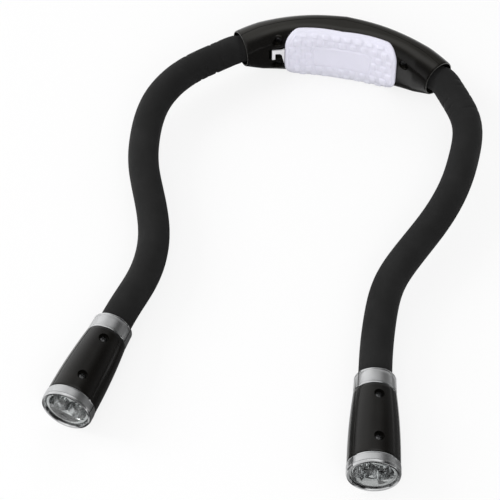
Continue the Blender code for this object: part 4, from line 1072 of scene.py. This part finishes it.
def makeLatch():
    bar = latch["bar"] / 2
    root = -latch["rootLength"]
    length, neck = latch["length"], latch["neck"]
    start = latch["barLength"] - length
    under = bar - neck
    outline = [(0, -latch["rootDrop"]), (0, bar + neck / 3), (root * 0.5, bar + neck * 0.1), (root, bar),
               (-length, bar), (-length, -bar), (start, -bar), (start, under), (root * 1.1, under),
               (root * 0.7, under - latch["crook"])]
    seat = latchFrame(latch["lift"])
    rings = [[seat @ Vector((along, up, rise)) for along, up in outline] for rise in (0, latch["thickness"])]
    piece = loft("doorLatch", rings, "latch")
    bevel = piece.modifiers.new("edges", "BEVEL")
    bevel.width = latch["edge"]
    bevel.segments = 4
    bevel.limit_method = "ANGLE"
    bevel.angle_limit = math.radians(30)
    seated(smooth(baked(piece), 50), "latch", "white_plastic", "door_latch")


makeShells()
makeCells()
makePad()
makeLatch()
print("housing made")


# Arms: foam sleeves along smooth paths, one piece over each joint

arms = {
    "left": {"sign": -1, "length": 0.2236, "endHeight": 0.0119, "twist": math.radians(13),
             "headings": (-45, -45, -66, -89, -101, -113, -109, -93, -77, -81)},
    "right": {"sign": 1, "length": 0.2218, "endHeight": 0.01335, "twist": math.radians(9),
              "headings": (-58, -59, -86, -95, -105, -112, -109, -91, -85, -81)},
}
sleeve = {"diameter": 0.0164, "endDiameter": 0.0170, "bore": 0.0090, "leadIn": 0.0090, "root": 0.0092,
          "tail": 0.0034, "jointShares": (0.12, 0.38, 0.64, 0.90), "blendReach": 0.013, "pathStep": 0.0005,
          "ringPitch": 0.0007, "sides": 60, "tuck": 0.0006, "tuckStart": 0.0004, "tuckReach": 0.0024,
          "creaseDepth": 0.00075, "creaseStart": 0.002, "creaseEnd": 0.045, "creaseTurns": 1150,
          "creaseSlant": 1.9, "creaseSharpness": 5, "driftGrain": 55, "drift": 7, "patchGrain": 90,
          "softDepth": 0.00012, "softGrain": 42}
head = {"collarRear": 0.0212, "collarFront": 0.0217, "collarLength": 0.0094, "gap": 0.0003,
        "bodyLength": 0.0413, "bodyRear": 0.0218, "bodyMiddle": 0.0252, "bodyFront": 0.0262, "wall": 0.0015,
        "split": 0.0064, "bezel": 0.0267, "bezelLength": 0.0060, "bezelOpening": 0.0232, "lip": 0.0006,
        "lens": 0.0236, "lensThickness": 0.0009, "lensEdge": 0.0002, "lensCrown": ((0, 0.0001), (0.5, 0.00007)),
        "screwPlaces": (0.0161, 0.0420), "neckBore": 0.0086}
headLength = head["collarLength"] + head["bodyLength"] + head["bezelLength"] + 2 * head["gap"]
headAxisHeight = head["bezel"] / 2 + head["gap"] / 2


def headingAt(headings, share):
    # degrees, on a smooth curve through the table
    spans = len(headings) - 1
    place = min(max(share, 0), 1) * spans
    number = min(int(place), spans - 1)
    part = place - number
    before = headings[max(number - 1, 0)]
    start, end = headings[number], headings[number + 1]
    after = headings[min(number + 2, spans)]
    startSlope = (end - before) / 2
    endSlope = (after - start) / 2
    bend = 2 * start - 2 * end + startSlope + endSlope
    turn = 3 * end - 3 * start - 2 * startSlope - endSlope
    return math.radians(start + startSlope * part + turn * part ** 2 + bend * part ** 3)


class ArmPath:
    # the centreline of an arm, by distance from its mouth
    def __init__(self, side):
        values = arms[side]
        self.sign = values["sign"]
        self.length = values["length"]
        self.headings = values["headings"]
        self.endHeight = values["endHeight"]
        self.count = int(round(self.length / sleeve["pathStep"]))
        mouth = archPoint(1, 0, 0)
        self.places = [(mouth.x, mouth.y)]
        for number in range(self.count):
            angle = self.heading(self.length * (number + 0.5) / self.count)
            along, depth = self.places[-1]
            step = self.length / self.count
            self.places.append((along + step * math.cos(angle), depth + step * math.sin(angle)))

    def heading(self, distance):
        return mixed(-halfAngle, headingAt(self.headings, distance / self.length),
                     smoothed(distance / sleeve["leadIn"]))

    def point(self, distance):
        if distance < 0:
            return archPoint(self.sign * (1 + shareOfArc(distance)), 0, 0)
        if distance > self.length:
            return self.point(self.length) + self.headAxis() * (distance - self.length)
        place = distance / self.length * self.count
        number = min(int(place), self.count - 1)
        along, depth = (mixed(self.places[number][axis], self.places[number + 1][axis], place - number)
                        for axis in (0, 1))
        height = mixed(middleHeight, self.endHeight, smoothed(distance / self.length))
        return Vector((self.sign * along, depth, height))

    def tangent(self, distance):
        angle = self.heading(distance)
        return Vector((self.sign * math.cos(angle), math.sin(angle), 0))

    def headAxis(self):
        rise = Vector((0, 0, headAxisHeight - self.endHeight))
        return (self.tangent(self.length) * headLength + rise).normalized()

    def radius(self, distance):
        # drawn in a little where the sleeve enters the housing's mouth
        share = min(max(distance / self.length, 0), 1)
        tuck = (1 - smoothed((distance - sleeve["tuckStart"]) / sleeve["tuckReach"])) * sleeve["tuck"]
        return mixed(sleeve["diameter"], sleeve["endDiameter"], share) / 2 - tuck

    def joint(self, number):
        return sleeve["jointShares"][number] * self.length

    def headFrame(self, twist):
        # Z along the head and X towards its screws
        along = self.headAxis()
        side = upward.cross(along).normalized()
        side = side if side.x > 0 else -side
        up = along.cross(side) if along.cross(side).z > 0 else side.cross(along)
        screws = up * math.cos(twist) + side * math.sin(twist)
        turn = Matrix((screws, along.cross(screws), along)).transposed().to_4x4()
        return Matrix.Translation(self.point(self.length)) @ turn


sleeveLabels = ("Crease Depth", "Crease Start", "Crease End", "Soft Depth")


def sleeveTree():
    # a tube about the curve, with soft swells all along it and fine slanting creases near the housing
    tree, net, given = newTree("foamSleeve", ("Start", *sleeveLabels), {"Sides": "NodeSocketInt"})
    length = net.wire("GeometryNodeSplineParameter", output="Length")
    centre = net.marked(given["Geometry"], "distance", length + given["Start"])
    circle = net.wire("GeometryNodeCurvePrimitiveCircle", {}, {"Resolution": given["Sides"], "Radius": 1.0})
    turn = net.wire("GeometryNodeSplineParameter", output="Factor") * (2 * math.pi)
    tube = net.wire("GeometryNodeCurveToMesh", {}, {
        "Curve": centre, "Profile Curve": net.marked(circle, "around", turn),
        "Scale": net.wire("GeometryNodeInputRadius")})
    distance, around = net.stored("distance"), net.stored("around")
    place = net.wire("GeometryNodeInputPosition")
    drift = net.noise(place, sleeve["driftGrain"], 2) * sleeve["drift"]
    wave = distance * sleeve["creaseTurns"] + around.math("SINE") * sleeve["creaseSlant"] + drift
    groove = wave.math("SINE").above(0) ** sleeve["creaseSharpness"]
    patch = net.noise(place, sleeve["patchGrain"], 1).eased(0.42, 0.62)
    start, end = given["Crease Start"], given["Crease End"]
    near = distance.eased(start, start * 4) * (1 - distance.eased(end * 0.5, end))
    swell = (net.noise(place, sleeve["softGrain"], 1) - 0.5) * given["Soft Depth"]
    endTree(net, net.swollen(tube, swell - groove * patch * near * given["Crease Depth"]), given["Material"])
    return tree


def makeSleeve(side, path, number, tree):
    # the piece of sleeve over one joint, from halfway to its neighbours
    last = len(sleeve["jointShares"]) - 1
    start = -sleeve["root"] if number == 0 else (path.joint(number - 1) + path.joint(number)) / 2
    end = path.length + sleeve["tail"] if number == last else (path.joint(number) + path.joint(number + 1)) / 2
    count = int((end - start) / sleeve["ringPitch"])
    curve = bpy.data.curves.new(f"{side}Sleeve{number + 1}", "CURVE")
    curve.dimensions = "3D"
    curve.twist_mode = "Z_UP"
    spline = curve.splines.new("POLY")
    spline.points.add(count)
    for point, distance in zip(spline.points, steps(start, end, count)):
        point.co = (*path.point(distance), 1)
        point.radius = path.radius(distance)
    values = {**sizesFor(sleeve, sleeveLabels), "Start": start, "Sides": sleeve["sides"],
              "Material": finishes["foam"]}
    piece = baked(addTree(linked(curve.name, curve), tree, values))
    for name in ("distance", "around"):
        piece.data.attributes.remove(piece.data.attributes[name])
    wall = piece.modifiers.new("wall", "SOLIDIFY")
    wall.thickness = (sleeve["diameter"] - sleeve["bore"]) / 2
    wall.offset = -1
    smooth(baked(piece), 50)
    middle = path.point(path.joint(number))
    reach = path.tangent(path.joint(number)) * sleeve["blendReach"]
    middle - reach
    middle + reach
    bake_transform(piece)
    nodes = [f"{side}_sleeve_1", f"{side}_sleeve_2"] if number == 0 else [f"{side}_sleeve_{number + 2}"]
    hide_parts(*nodes)


# Heads, with Z along the head from the rear of its collar and X towards its screws

def barrelRadius(place):
    start = head["collarLength"] + head["gap"]
    share = min(max((place - start) / head["bodyLength"], 0), 1)
    bulge = head["bodyMiddle"] / 2 - (head["bodyRear"] + head["bodyFront"]) / 4
    return mixed(head["bodyRear"], head["bodyFront"], share) / 2 + bulge * 4 * share * (1 - share)


barrel = {"edge": 0.0004, "edgeRound": 0.3, "stations": 48, "arcSteps": 56, "chamfer": 0.00022,
          "step": 0.00002, "flatShare": 0.97}


def barrelStations():
    # (place, drop of the outer edge, inner radius) from the rear of the body to its front
    start = head["collarLength"] + head["gap"]
    end = start + head["bodyLength"]
    edge = barrel["edge"]
    small = edge * barrel["edgeRound"]
    bore = head["neckBore"] / 2
    floor = start + head["wall"]
    stations = [(start, edge, bore), (start + small, small, bore), (start + edge, 0, bore), (floor, 0, bore),
                (floor + barrel["step"], 0, None)]
    stations += [(place, 0, None) for place in steps(floor + edge, end - edge, barrel["stations"])]
    return stations + [(end - small, small, None), (end, edge, None)]


def barrelPart(name, matrix, low):
    # the body or its cover: a barrel cut along a flat plane, its long edges chamfered
    plane = head["split"] if low else head["split"] + head["gap"]
    chamfer = barrel["chamfer"]
    count = barrel["arcSteps"]
    rings = []
    for place, drop, bore in barrelStations():
        outer = barrelRadius(place) - drop
        inner = bore if bore else barrelRadius(place) - head["wall"]
        rim = outer - chamfer
        outerEnd = math.acos((plane - chamfer if low else plane + chamfer) / outer)
        rimEnd = math.acos(plane / rim)
        innerEnd = math.acos(min(plane / inner, 1)) if inner > plane else 0
        if low:
            arc = steps(outerEnd, 2 * math.pi - outerEnd, count * 2)
            points = [(rim, rimEnd), *[(outer, angle) for angle in arc], (rim, 2 * math.pi - rimEnd)]
            inside = [(inner, angle) for angle in steps(innerEnd, 2 * math.pi - innerEnd, count * 2)]
        else:
            arc = steps(-outerEnd, outerEnd, count)
            points = [(rim, -rimEnd), *[(outer, angle) for angle in arc], (rim, rimEnd)]
            inside = [(inner, angle) for angle in steps(-innerEnd, innerEnd, count)]
        if inner <= plane and not low:
            reach = math.sqrt(rim ** 2 - plane ** 2) * barrel["flatShare"]
            inside = [(math.hypot(plane, across), math.atan2(across, plane))
                      for across in steps(-reach, reach, count)]
        rings.append([matrix @ Vector((radius * math.cos(angle), radius * math.sin(angle), place))
                      for radius, angle in points + inside[::-1]])
    return loft(name, rings, "barrel", 30)


def headSeat(place):
    return Matrix.Translation((barrelRadius(place), 0, place)) @ Matrix.Rotation(-math.pi / 2, 4, "Y")


button = {"place": 0.02905, "diameter": 0.0064, "inset": 0.00015, "edge": 0.0005, "depth": 0.0024,
          "dish": 0.00035, "flange": 0.0080, "flangeThickness": 0.0006, "holeGap": 0.0003, "holeDepth": 0.004,
          "holeRim": 0.0012, "holeEdge": 0.0003}


def buttonSeat():
    radius = barrelRadius(button["place"])
    return Matrix.Translation((-radius, 0, button["place"])) @ Matrix.Rotation(-math.pi / 2, 4, "Y")


def makeBarrel(side, matrix, body):
    lower = barrelPart(f"{side}HeadBody", matrix, True)
    hole = button["diameter"] / 2 + button["holeGap"]
    rim, edge = button["holeRim"], button["holeEdge"]
    profile = [(0, -button["holeDepth"]), (hole, -button["holeDepth"]), (hole, -rim), (hole + edge, edge - rim),
               (hole + rim, overrun), (0, overrun)]
    trimmed(lower, [solidTurned(f"{side}ButtonHole", profile, matrix @ buttonSeat(), "black", 64)])
    seated(lower, body, "black_gloss_plastic", f"{side}_head_body")
    cover = barrelPart(f"{side}HeadCover", matrix, False)
    seats = [matrix @ headSeat(place) for place in head["screwPlaces"]]
    wells, bosses = screwWells(side, seats, head["wall"])
    trimmed(cover, wells)
    cover = joined(f"{side}HeadCover", [cover, *bosses])
    seated(cover, body, "black_gloss_plastic", f"{side}_head_cover")
    screws = copied(f"{side}HeadScrews", screwMaster, seats)
    seated(screws, body, "steel", f"{side}_head_screw_rear", f"{side}_head_screw_front")


ringSeam = {"angles": {"left": math.radians(300), "right": math.radians(62)}, "width": 0.00032,
            "depth": 0.00022, "places": (-1, -0.45, 0, 0.45, 1), "clear": 1.2, "deepShare": 0.6,
            "seamShadeShare": 0.75, "under": 0.0004}


def seamFor(side, radius):
    # the fine seam of a ring, only in its outer skin, its groove painted dark as shade
    return {**ringSeam, "angle": ringSeam["angles"][side], "over": radius - ringSeam["under"]}


def arcPoints(centre, radius, start, end, count):
    return [(centre[0] + radius * math.cos(math.radians(angle)),
             centre[1] + radius * math.sin(math.radians(angle))) for angle in steps(start, end, count)]


def offsetPoints(corner, offsets):
    return [(corner[0] + across, corner[1] + along) for across, along in offsets]


# the offsets of both rings are (across, along) from the corner that they are named for
collar = {"edge": 0.0005, "shine": 0.0011, "frontGroove": ((-0.00012, -0.0011), (-0.00012, -0.00125)),
          "slope": 0.0014, "rearGroove": ((-0.0001, 0.00125), (-0.0001, 0.0011), (0, 0.00095)),
          "boreEdge": 0.0004, "seatDepth": 0.0057, "seatRoom": 0.0007}
bezel = {"mouth": ((0.0001, -0.0006), (0.0003, -0.00006)), "chamfer": 0.00036, "chamferRound": 0.00025,
         "frontGroove": ((-0.00004, -0.00112), (-0.00024, -0.00122), (-0.00024, -0.00142), (0, -0.00155)),
         "rearLine": ((0, 0.0012), (-0.00012, 0.00105), (-0.00012, 0.0009), (-0.00003, 0.0008)),
         "rearDrop": 0.0001, "rearEdge": 0.0004, "bodyGap": 0.0004,
         "skirt": ((-0.0016, -0.0030), (-0.0019, -0.0030), (-0.0019, 0.0010), (0, 0.0012)),
         "frontShine": 0.0011, "rearShine": 0.0009, "mouthShine": 0.0006}


def makeCollar(side, matrix, body):
    rear = head["collarRear"] / 2
    front = head["collarFront"] / 2
    length = head["collarLength"]
    bore = sleeve["endDiameter"] / 2 + head["gap"]
    edge, slope = collar["edge"], collar["slope"]
    boreEdge, room = collar["boreEdge"], collar["seatRoom"]
    profile = [(front - edge, length), *arcPoints((front - edge, length - edge), edge, 90, 0, 6)[1:]]
    profile += offsetPoints((front, length), collar["frontGroove"])
    profile += [(mixed(front, rear, share), mixed(length - slope, slope, share)) for share in steps(0, 1, 4)]
    profile += offsetPoints((rear, 0), collar["rearGroove"])
    profile += arcPoints((rear - edge, edge), edge, 0, -90, 6)
    profile += [(bore + boreEdge, 0), (bore, boreEdge), (bore, length - collar["seatDepth"]),
                (bore + room, length - collar["seatDepth"]), (bore + room, length)]

    def shine(radius, height):
        return 1.0 if height < collar["shine"] or height > length - collar["shine"] else 0.0

    piece = turned(f"{side}Collar", profile, matrix, "ring", 128, 32, seamFor(side, rear), shine)
    seated(piece, body, "satin_silver", f"{side}_collar")


def makeBezel(side, matrix, body):
    outer = head["bezel"] / 2
    front = headLength
    rear = headLength - head["bezelLength"]
    opening = head["bezelOpening"] / 2
    pocket = head["lens"] / 2 + head["gap"]
    soft, edge = bezel["chamferRound"], bezel["rearEdge"]
    profile = offsetPoints((opening, front), bezel["mouth"])
    profile += arcPoints((outer - bezel["chamfer"] - soft, front - soft), soft, 90, 22, 5)
    profile += offsetPoints((outer, front), bezel["frontGroove"])
    profile += offsetPoints((outer, rear), bezel["rearLine"])
    profile += arcPoints((outer - bezel["rearDrop"] - edge, rear + edge), edge, 0, -90, 5)
    profile.append((head["bodyFront"] / 2 - head["wall"] - bezel["bodyGap"], rear))
    profile += offsetPoints((pocket, rear), bezel["skirt"])
    profile += [(pocket, front - head["lip"]), (opening, front - head["lip"])]

    def shine(radius, height):
        atEnds = height > front - bezel["frontShine"] or height < rear + bezel["rearShine"]
        return 1.0 if atEnds or radius < opening + bezel["mouthShine"] else 0.0

    piece = turned(f"{side}Bezel", profile, matrix, "ring", 128, 32, seamFor(side, outer), shine)
    seated(piece, body, "satin_silver", f"{side}_bezel")


def makeLens(side, matrix, body):
    top = headLength - head["lip"] - head["gap"]
    low = top - head["lensThickness"]
    radius = head["lens"] / 2
    edge = head["lensEdge"]
    profile = [*((radius * share, top + rise) for share, rise in head["lensCrown"]), (radius - edge, top),
               (radius, top - edge), (radius, low + edge), (radius - edge, low), (0, low)]
    seated(solidTurned(f"{side}Lens", profile, matrix, "lens", 96), body, "clear_plastic", f"{side}_lens")


reflector = {"depth": 0.0085, "diameter": 0.0196, "dish": 0.0018, "dishFlat": 0.55, "dishTurn": 0.74,
             "dishRise": 0.0002, "rim": ((0.0006, -0.0002), (0.0012, 0)), "flange": 0.0006,
             "flangeFoot": 0.0004, "bowl": 0.0106, "bowlOffset": 0.0042, "bowlStretch": 1.25,
             "bowlDepth": 0.0072, "bowlLip": 0.0006, "bowlFlare": 1.15, "hole": 0.0056}


def reflectorFace():
    return headLength - head["lip"] - head["lensThickness"] - 2 * head["gap"]


def makeReflector(side, matrix, body):
    # a dish with a wide rim, and two deep bowls that overlap in the middle
    face = reflectorFace()
    flange = head["lens"] / 2
    radius = reflector["diameter"] / 2
    dish = face - reflector["dish"]
    under = face - reflector["flange"]
    low = face - reflector["depth"]
    profile = [(0, dish), (radius * reflector["dishFlat"], dish),
               (radius * reflector["dishTurn"], dish + reflector["dishRise"]),
               *offsetPoints((radius, face), reflector["rim"]), (flange, face), (flange, under),
               (radius, under - reflector["flangeFoot"]), (radius, low), (0, low)]
    plate = solidTurned(f"{side}Reflector", profile, matrix, "mirror", 128)
    bowl = reflector["bowl"] / 2
    hole = reflector["hole"] / 2
    above = dish + 2 * overrun
    foot, lip = face - reflector["bowlDepth"], dish + reflector["bowlLip"]
    curve = [(mixed(hole, bowl, math.sqrt(share)), mixed(foot, lip, share)) for share in steps(0, 1, 14)]
    shape = [(0, above), (bowl * reflector["bowlFlare"], above), *curve[::-1], (hole, low - overrun),
             (0, low - overrun)]
    stretch = Matrix.Diagonal((reflector["bowlStretch"], 1, 1, 1))
    seats = [matrix @ Matrix.Translation((0, sign * reflector["bowlOffset"], 0)) @ stretch for sign in (-1, 1)]
    trimmed(plate, [solidTurned(f"{side}Bowl{number}", shape, seat, "mirror", 72)
                    for number, seat in enumerate(seats)], creaseAngle=28)
    seated(plate, body, "chrome", f"{side}_reflector")


# the anvil and the dot are (share of the cup's radius, height)
led = {"diameter": 0.0050, "flange": 0.0056, "flangeHeight": 0.0010, "flangeEdge": 0.0001, "length": 0.0084,
       "cup": 0.0011, "anvil": ((0, 0.0047), (0.55, 0.0047), (1, 0.0052), (1, 0.0040), (0.4, 0.0036),
                                (0.4, 0.0006), (0, 0.0006)),
       "dot": ((0, 0.00505), (0.45, 0.00500), (0.62, 0.00485), (0, 0.0048)),
       "post": 0.0003, "postTop": 0.0049, "postFoot": 0.0006, "postPlace": 0.0016}


def makeLedMasters():
    # the resin, and in one mesh the cupped anvil, the chip and the post
    radius = led["diameter"] / 2
    dome = led["length"] - radius
    flange, height, edge = led["flange"] / 2, led["flangeHeight"], led["flangeEdge"]
    profile = [(radius * math.sin(angle), dome + radius * math.cos(angle))
               for angle in steps(0, math.pi / 2, 14)]
    profile += [(radius, height + 2 * edge), (flange, height), (flange, edge), (flange - edge, 0), (0, 0)]
    resin = solidTurned("ledResin", profile, Matrix(), "led", 48)
    anvil, dot = ([(led["cup"] * share, height) for share, height in led[part]] for part in ("anvil", "dot"))
    post = [(0, led["postTop"]), (led["post"], led["postTop"]), (led["post"], led["postFoot"]),
            (0, led["postFoot"])]
    beside = Matrix.Translation((0, led["postPlace"], 0))
    inner = [solidTurned("ledAnvil", anvil, Matrix(), "mirror", 24),
             solidTurned("ledDot", dot, Matrix(), "mirror", 24),
             solidTurned("ledPost", post, beside, "mirror", 16)]
    return resin, joined("ledInnerMaster", inner)


ledResin, ledInner = makeLedMasters()


def makeLeds(side, matrix, body):
    base = reflectorFace() - reflector["depth"] - head["gap"] - led["flangeHeight"]
    frames = [matrix @ Matrix.Translation((0, sign * reflector["bowlOffset"], base)) for sign in (-1, 1)]
    resin = smooth(copied(f"{side}LedResin", ledResin, frames), 35)
    seated(resin, body, "clear_plastic", f"{side}_led_a", f"{side}_led_b")
    seated(copied(f"{side}LedChips", ledInner, frames), body, "chrome")


def makeButton(side, matrix, body):
    # a round cap with a shallow dish for the fingertip
    radius = button["diameter"] / 2
    top = -button["inset"]
    low = -button["depth"]
    edge, dish, flange = button["edge"], button["dish"], button["flange"] / 2
    under = low - button["flangeThickness"]
    profile = [(0, top - dish), (radius * 0.35, top - dish * 0.85), (radius * 0.6, top - dish / 3.5),
               (radius * 0.72, top), *arcPoints((radius - edge, top - edge), edge, 90, 0, 6), (radius, low),
               (flange, low), (flange, under), (0, under)]
    piece = solidTurned(f"{side}Button", profile, matrix @ buttonSeat(), "cap", 64)
    seated(piece, f"{side}_push", "charcoal_rubber", f"{side}_button")


sleeveTool = sleeveTree()
for side in ("left", "right"):
    path = ArmPath(side)
    for number in range(len(sleeve["jointShares"])):
        makeSleeve(side, path, number, sleeveTool)
    for number in range(1, 6):
        repaint(f"{side}_core_{number}", "core")
    matrix = path.headFrame(arms[side]["twist"])
    for make in (makeBarrel, makeCollar, makeBezel, makeLens, makeReflector, makeLeds, makeButton):
        make(side, matrix, f"{side}_head")
    repaint(f"{side}_switch_board", "board")
    print(side, "arm and head made")
for master in (screwMaster, ledResin, ledInner):
    bpy.data.objects.remove(master)


# Studio: pale floor, soft lamps and the photograph's camera

studio = {"floorSize": 6.0, "floorWhite": (0.84, 0.84, 0.84, 1), "floorLift": 0.82, "floorGloss": 0.30,
          "camera": (0.11426, -0.78154, 0.77958), "target": (-0.02061, -0.15799, 0.01575), "lens": 136.8,
          "sensor": 36.0, "farthest": 20}
lamps = {
    "backSoftbox": {"place": (-0.15, 1.30, 1.02), "aim": (-0.02, 0, 0.02), "size": (1.1, 0.55), "power": 4},
    "leftSoftbox": {"place": (-1.25, -0.10, 0.80), "aim": (0, -0.1, 0), "size": (0.7, 0.7), "power": 10},
    "frontSoftbox": {"place": (0.35, -1.5, 1.0), "aim": (0, -0.05, 0), "size": (1.2, 0.9), "power": 16},
}
# strengths of the sky for gloss and glass, and the parts of the direction over which each comes in
sky = {"ambient": 0.55, "back": 0.50, "low": 0.23, "lowFrom": (0.15, 0.60), "left": 0.58, "right": 0.46,
       "sideFrom": (0.05, 0.60), "sideUpTo": (0.75, 0.95), "top": 1.5, "topFrom": (0.78, 0.97), "front": 0.12,
       "frontFrom": (0.0, 0.45), "frontLeft": 0.80, "frontLeftFrom": (0.10, 0.45)}
# low and high corners on the floor, brightness and, for a mottled one, the grain of its patches
darkCards = {
    "housingCard": ((-0.070, -0.190), (0.012, -0.014), 0.10, 0),
    "footCard": ((0.012, -0.0215), (0.060, -0.012), 0.12, 0),
    "glareCard": ((0.012, -0.0310), (0.060, -0.0215), 1.25, 0),
    "housingRightCard": ((0.012, -0.180), (0.060, -0.0310), 0.34, 0),
    "leftFaceCard": ((-0.112, -0.330), (-0.076, -0.279), 0.70, 115),
    "rightFaceCard": ((0.046, -0.345), (0.084, -0.286), 0.48, 90),
    "leftSideCard": ((-0.076, -0.300), (-0.010, -0.190), 0.10, 0),
    "innerSideCard": ((-0.010, -0.300), (0.032, -0.214), 0.14, 0),
    "rightSideCard": ((0.084, -0.300), (0.320, -0.080), 0.20, 0),
}
cardLook = {"height": 0.0004, "patchEdge": (0.49, 0.58), "patchDark": 0.05}


def rayKinds(net):
    # the rays of the camera, and those of gloss and glass together
    rays = net.node("ShaderNodeLightPath")
    shiny = Wire(net, rays.outputs["Is Glossy Ray"]).above(Wire(net, rays.outputs["Is Transmission Ray"]))
    return Wire(net, rays.outputs["Is Camera Ray"]), shiny


def flatSheet(name, low, high, height):
    corners = [(low[0], low[1], height), (high[0], low[1], height), (high[0], high[1], height),
               (low[0], high[1], height)]
    mesh = bpy.data.meshes.new(name)
    mesh.from_pydata(corners, [], [(0, 1, 2, 3)])
    material = bpy.data.materials.new(name)
    material.use_nodes = True
    material.node_tree.nodes.remove(material.node_tree.nodes["Principled BSDF"])
    mesh.materials.append(material)
    sheet = linked(name, mesh)
    return sheet, Net(material.node_tree)


def glowing(net, strength):
    return net.wire("ShaderNodeEmission", {}, {"Color": (1, 1, 1, 1), "Strength": strength})


def makeFloor():
    half = studio["floorSize"] / 2
    _, net = flatSheet("paleFloor", (-half, -half), (half, half), 0)
    matte = net.wire("ShaderNodeBsdfDiffuse", {}, {"Color": studio["floorWhite"]})
    camera, shiny = rayKinds(net)
    share = camera.above(shiny * studio["floorGloss"]) * studio["floorLift"]
    surface = net.wire("ShaderNodeMixShader", {}, {0: share, 1: matte, 2: glowing(net, 1.0)})
    net.plug(net.tree.nodes["Material Output"].inputs["Surface"], surface)


def makeDarkCards():
    # cards that only reflections see, as a photographer's flags keep glare off dark gloss
    for name, (low, high, strength, patches) in darkCards.items():
        card, net = flatSheet(name, low, high, cardLook["height"])
        if patches:
            mottle = net.noise(objectPlace(net), patches, 1).eased(*cardLook["patchEdge"])
            strength = mottle * strength + cardLook["patchDark"]
        net.plug(net.tree.nodes["Material Output"].inputs["Surface"], glowing(net, strength))
        card.visible_camera = False
        card.visible_diffuse = False
        card.visible_shadow = False


def makeWorld():
    # white to the camera, even for the lamps' light, and for gloss and glass a sky with a gradient
    world = bpy.data.worlds.new("softSky")
    world.use_nodes = True
    bpy.context.scene.world = world
    net = Net(world.node_tree)
    across, depth, height = net.parts(net.wire("ShaderNodeTexCoord", output="Generated"))
    low = 1 - height.eased(*sky["lowFrom"])
    left = (across * -1).eased(*sky["sideFrom"]) * sky["left"]
    right = across.eased(*sky["sideFrom"]) * sky["right"]
    back = sky["back"] + low * sky["low"] + (left - right) * (1 - height.eased(*sky["sideUpTo"]))
    top = height.eased(*sky["topFrom"])
    back = back * (1 - top) + top * sky["top"]
    front = sky["front"] + (across * -1).eased(*sky["frontLeftFrom"]) * sky["frontLeft"]
    frontward = (depth * -1).eased(*sky["frontFrom"])
    camera, shiny = rayKinds(net)
    seen = shiny * (back * (1 - frontward) + frontward * front) + (1 - shiny) * sky["ambient"]
    background = world.node_tree.nodes["Background"]
    background.inputs["Color"].default_value = (1, 1, 1, 1)
    net.plug(background.inputs["Strength"], seen * (1 - camera) + camera)


def aimed(place, target):
    return (Vector(target) - Vector(place)).to_track_quat("-Z", "Y").to_euler()


def makeLamps():
    # no lamp shows in a reflection, and only the left one shows through the lenses
    for name, values in lamps.items():
        light = bpy.data.lights.new(name, "AREA")
        light.shape = "RECTANGLE"
        light.size, light.size_y = values["size"]
        light.energy = values["power"]
        lamp = linked(name, light)
        lamp.location = values["place"]
        lamp.rotation_euler = aimed(values["place"], values["aim"])
        lamp.visible_glossy = False
        lamp.visible_transmission = name == "leftSoftbox"


def makeCamera():
    data = bpy.data.cameras.new("camera")
    data.lens = studio["lens"]
    data.sensor_width = studio["sensor"]
    data.sensor_fit = "HORIZONTAL"
    data.clip_end = studio["farthest"]
    camera = linked("camera", data)
    camera.location = studio["camera"]
    camera.rotation_euler = aimed(studio["camera"], studio["target"])
    bpy.context.scene.camera = camera


makeFloor()
makeDarkCards()
makeWorld()
makeLamps()
makeCamera()
bpy.context.scene.view_settings.view_transform = "Standard"
print("studio made")
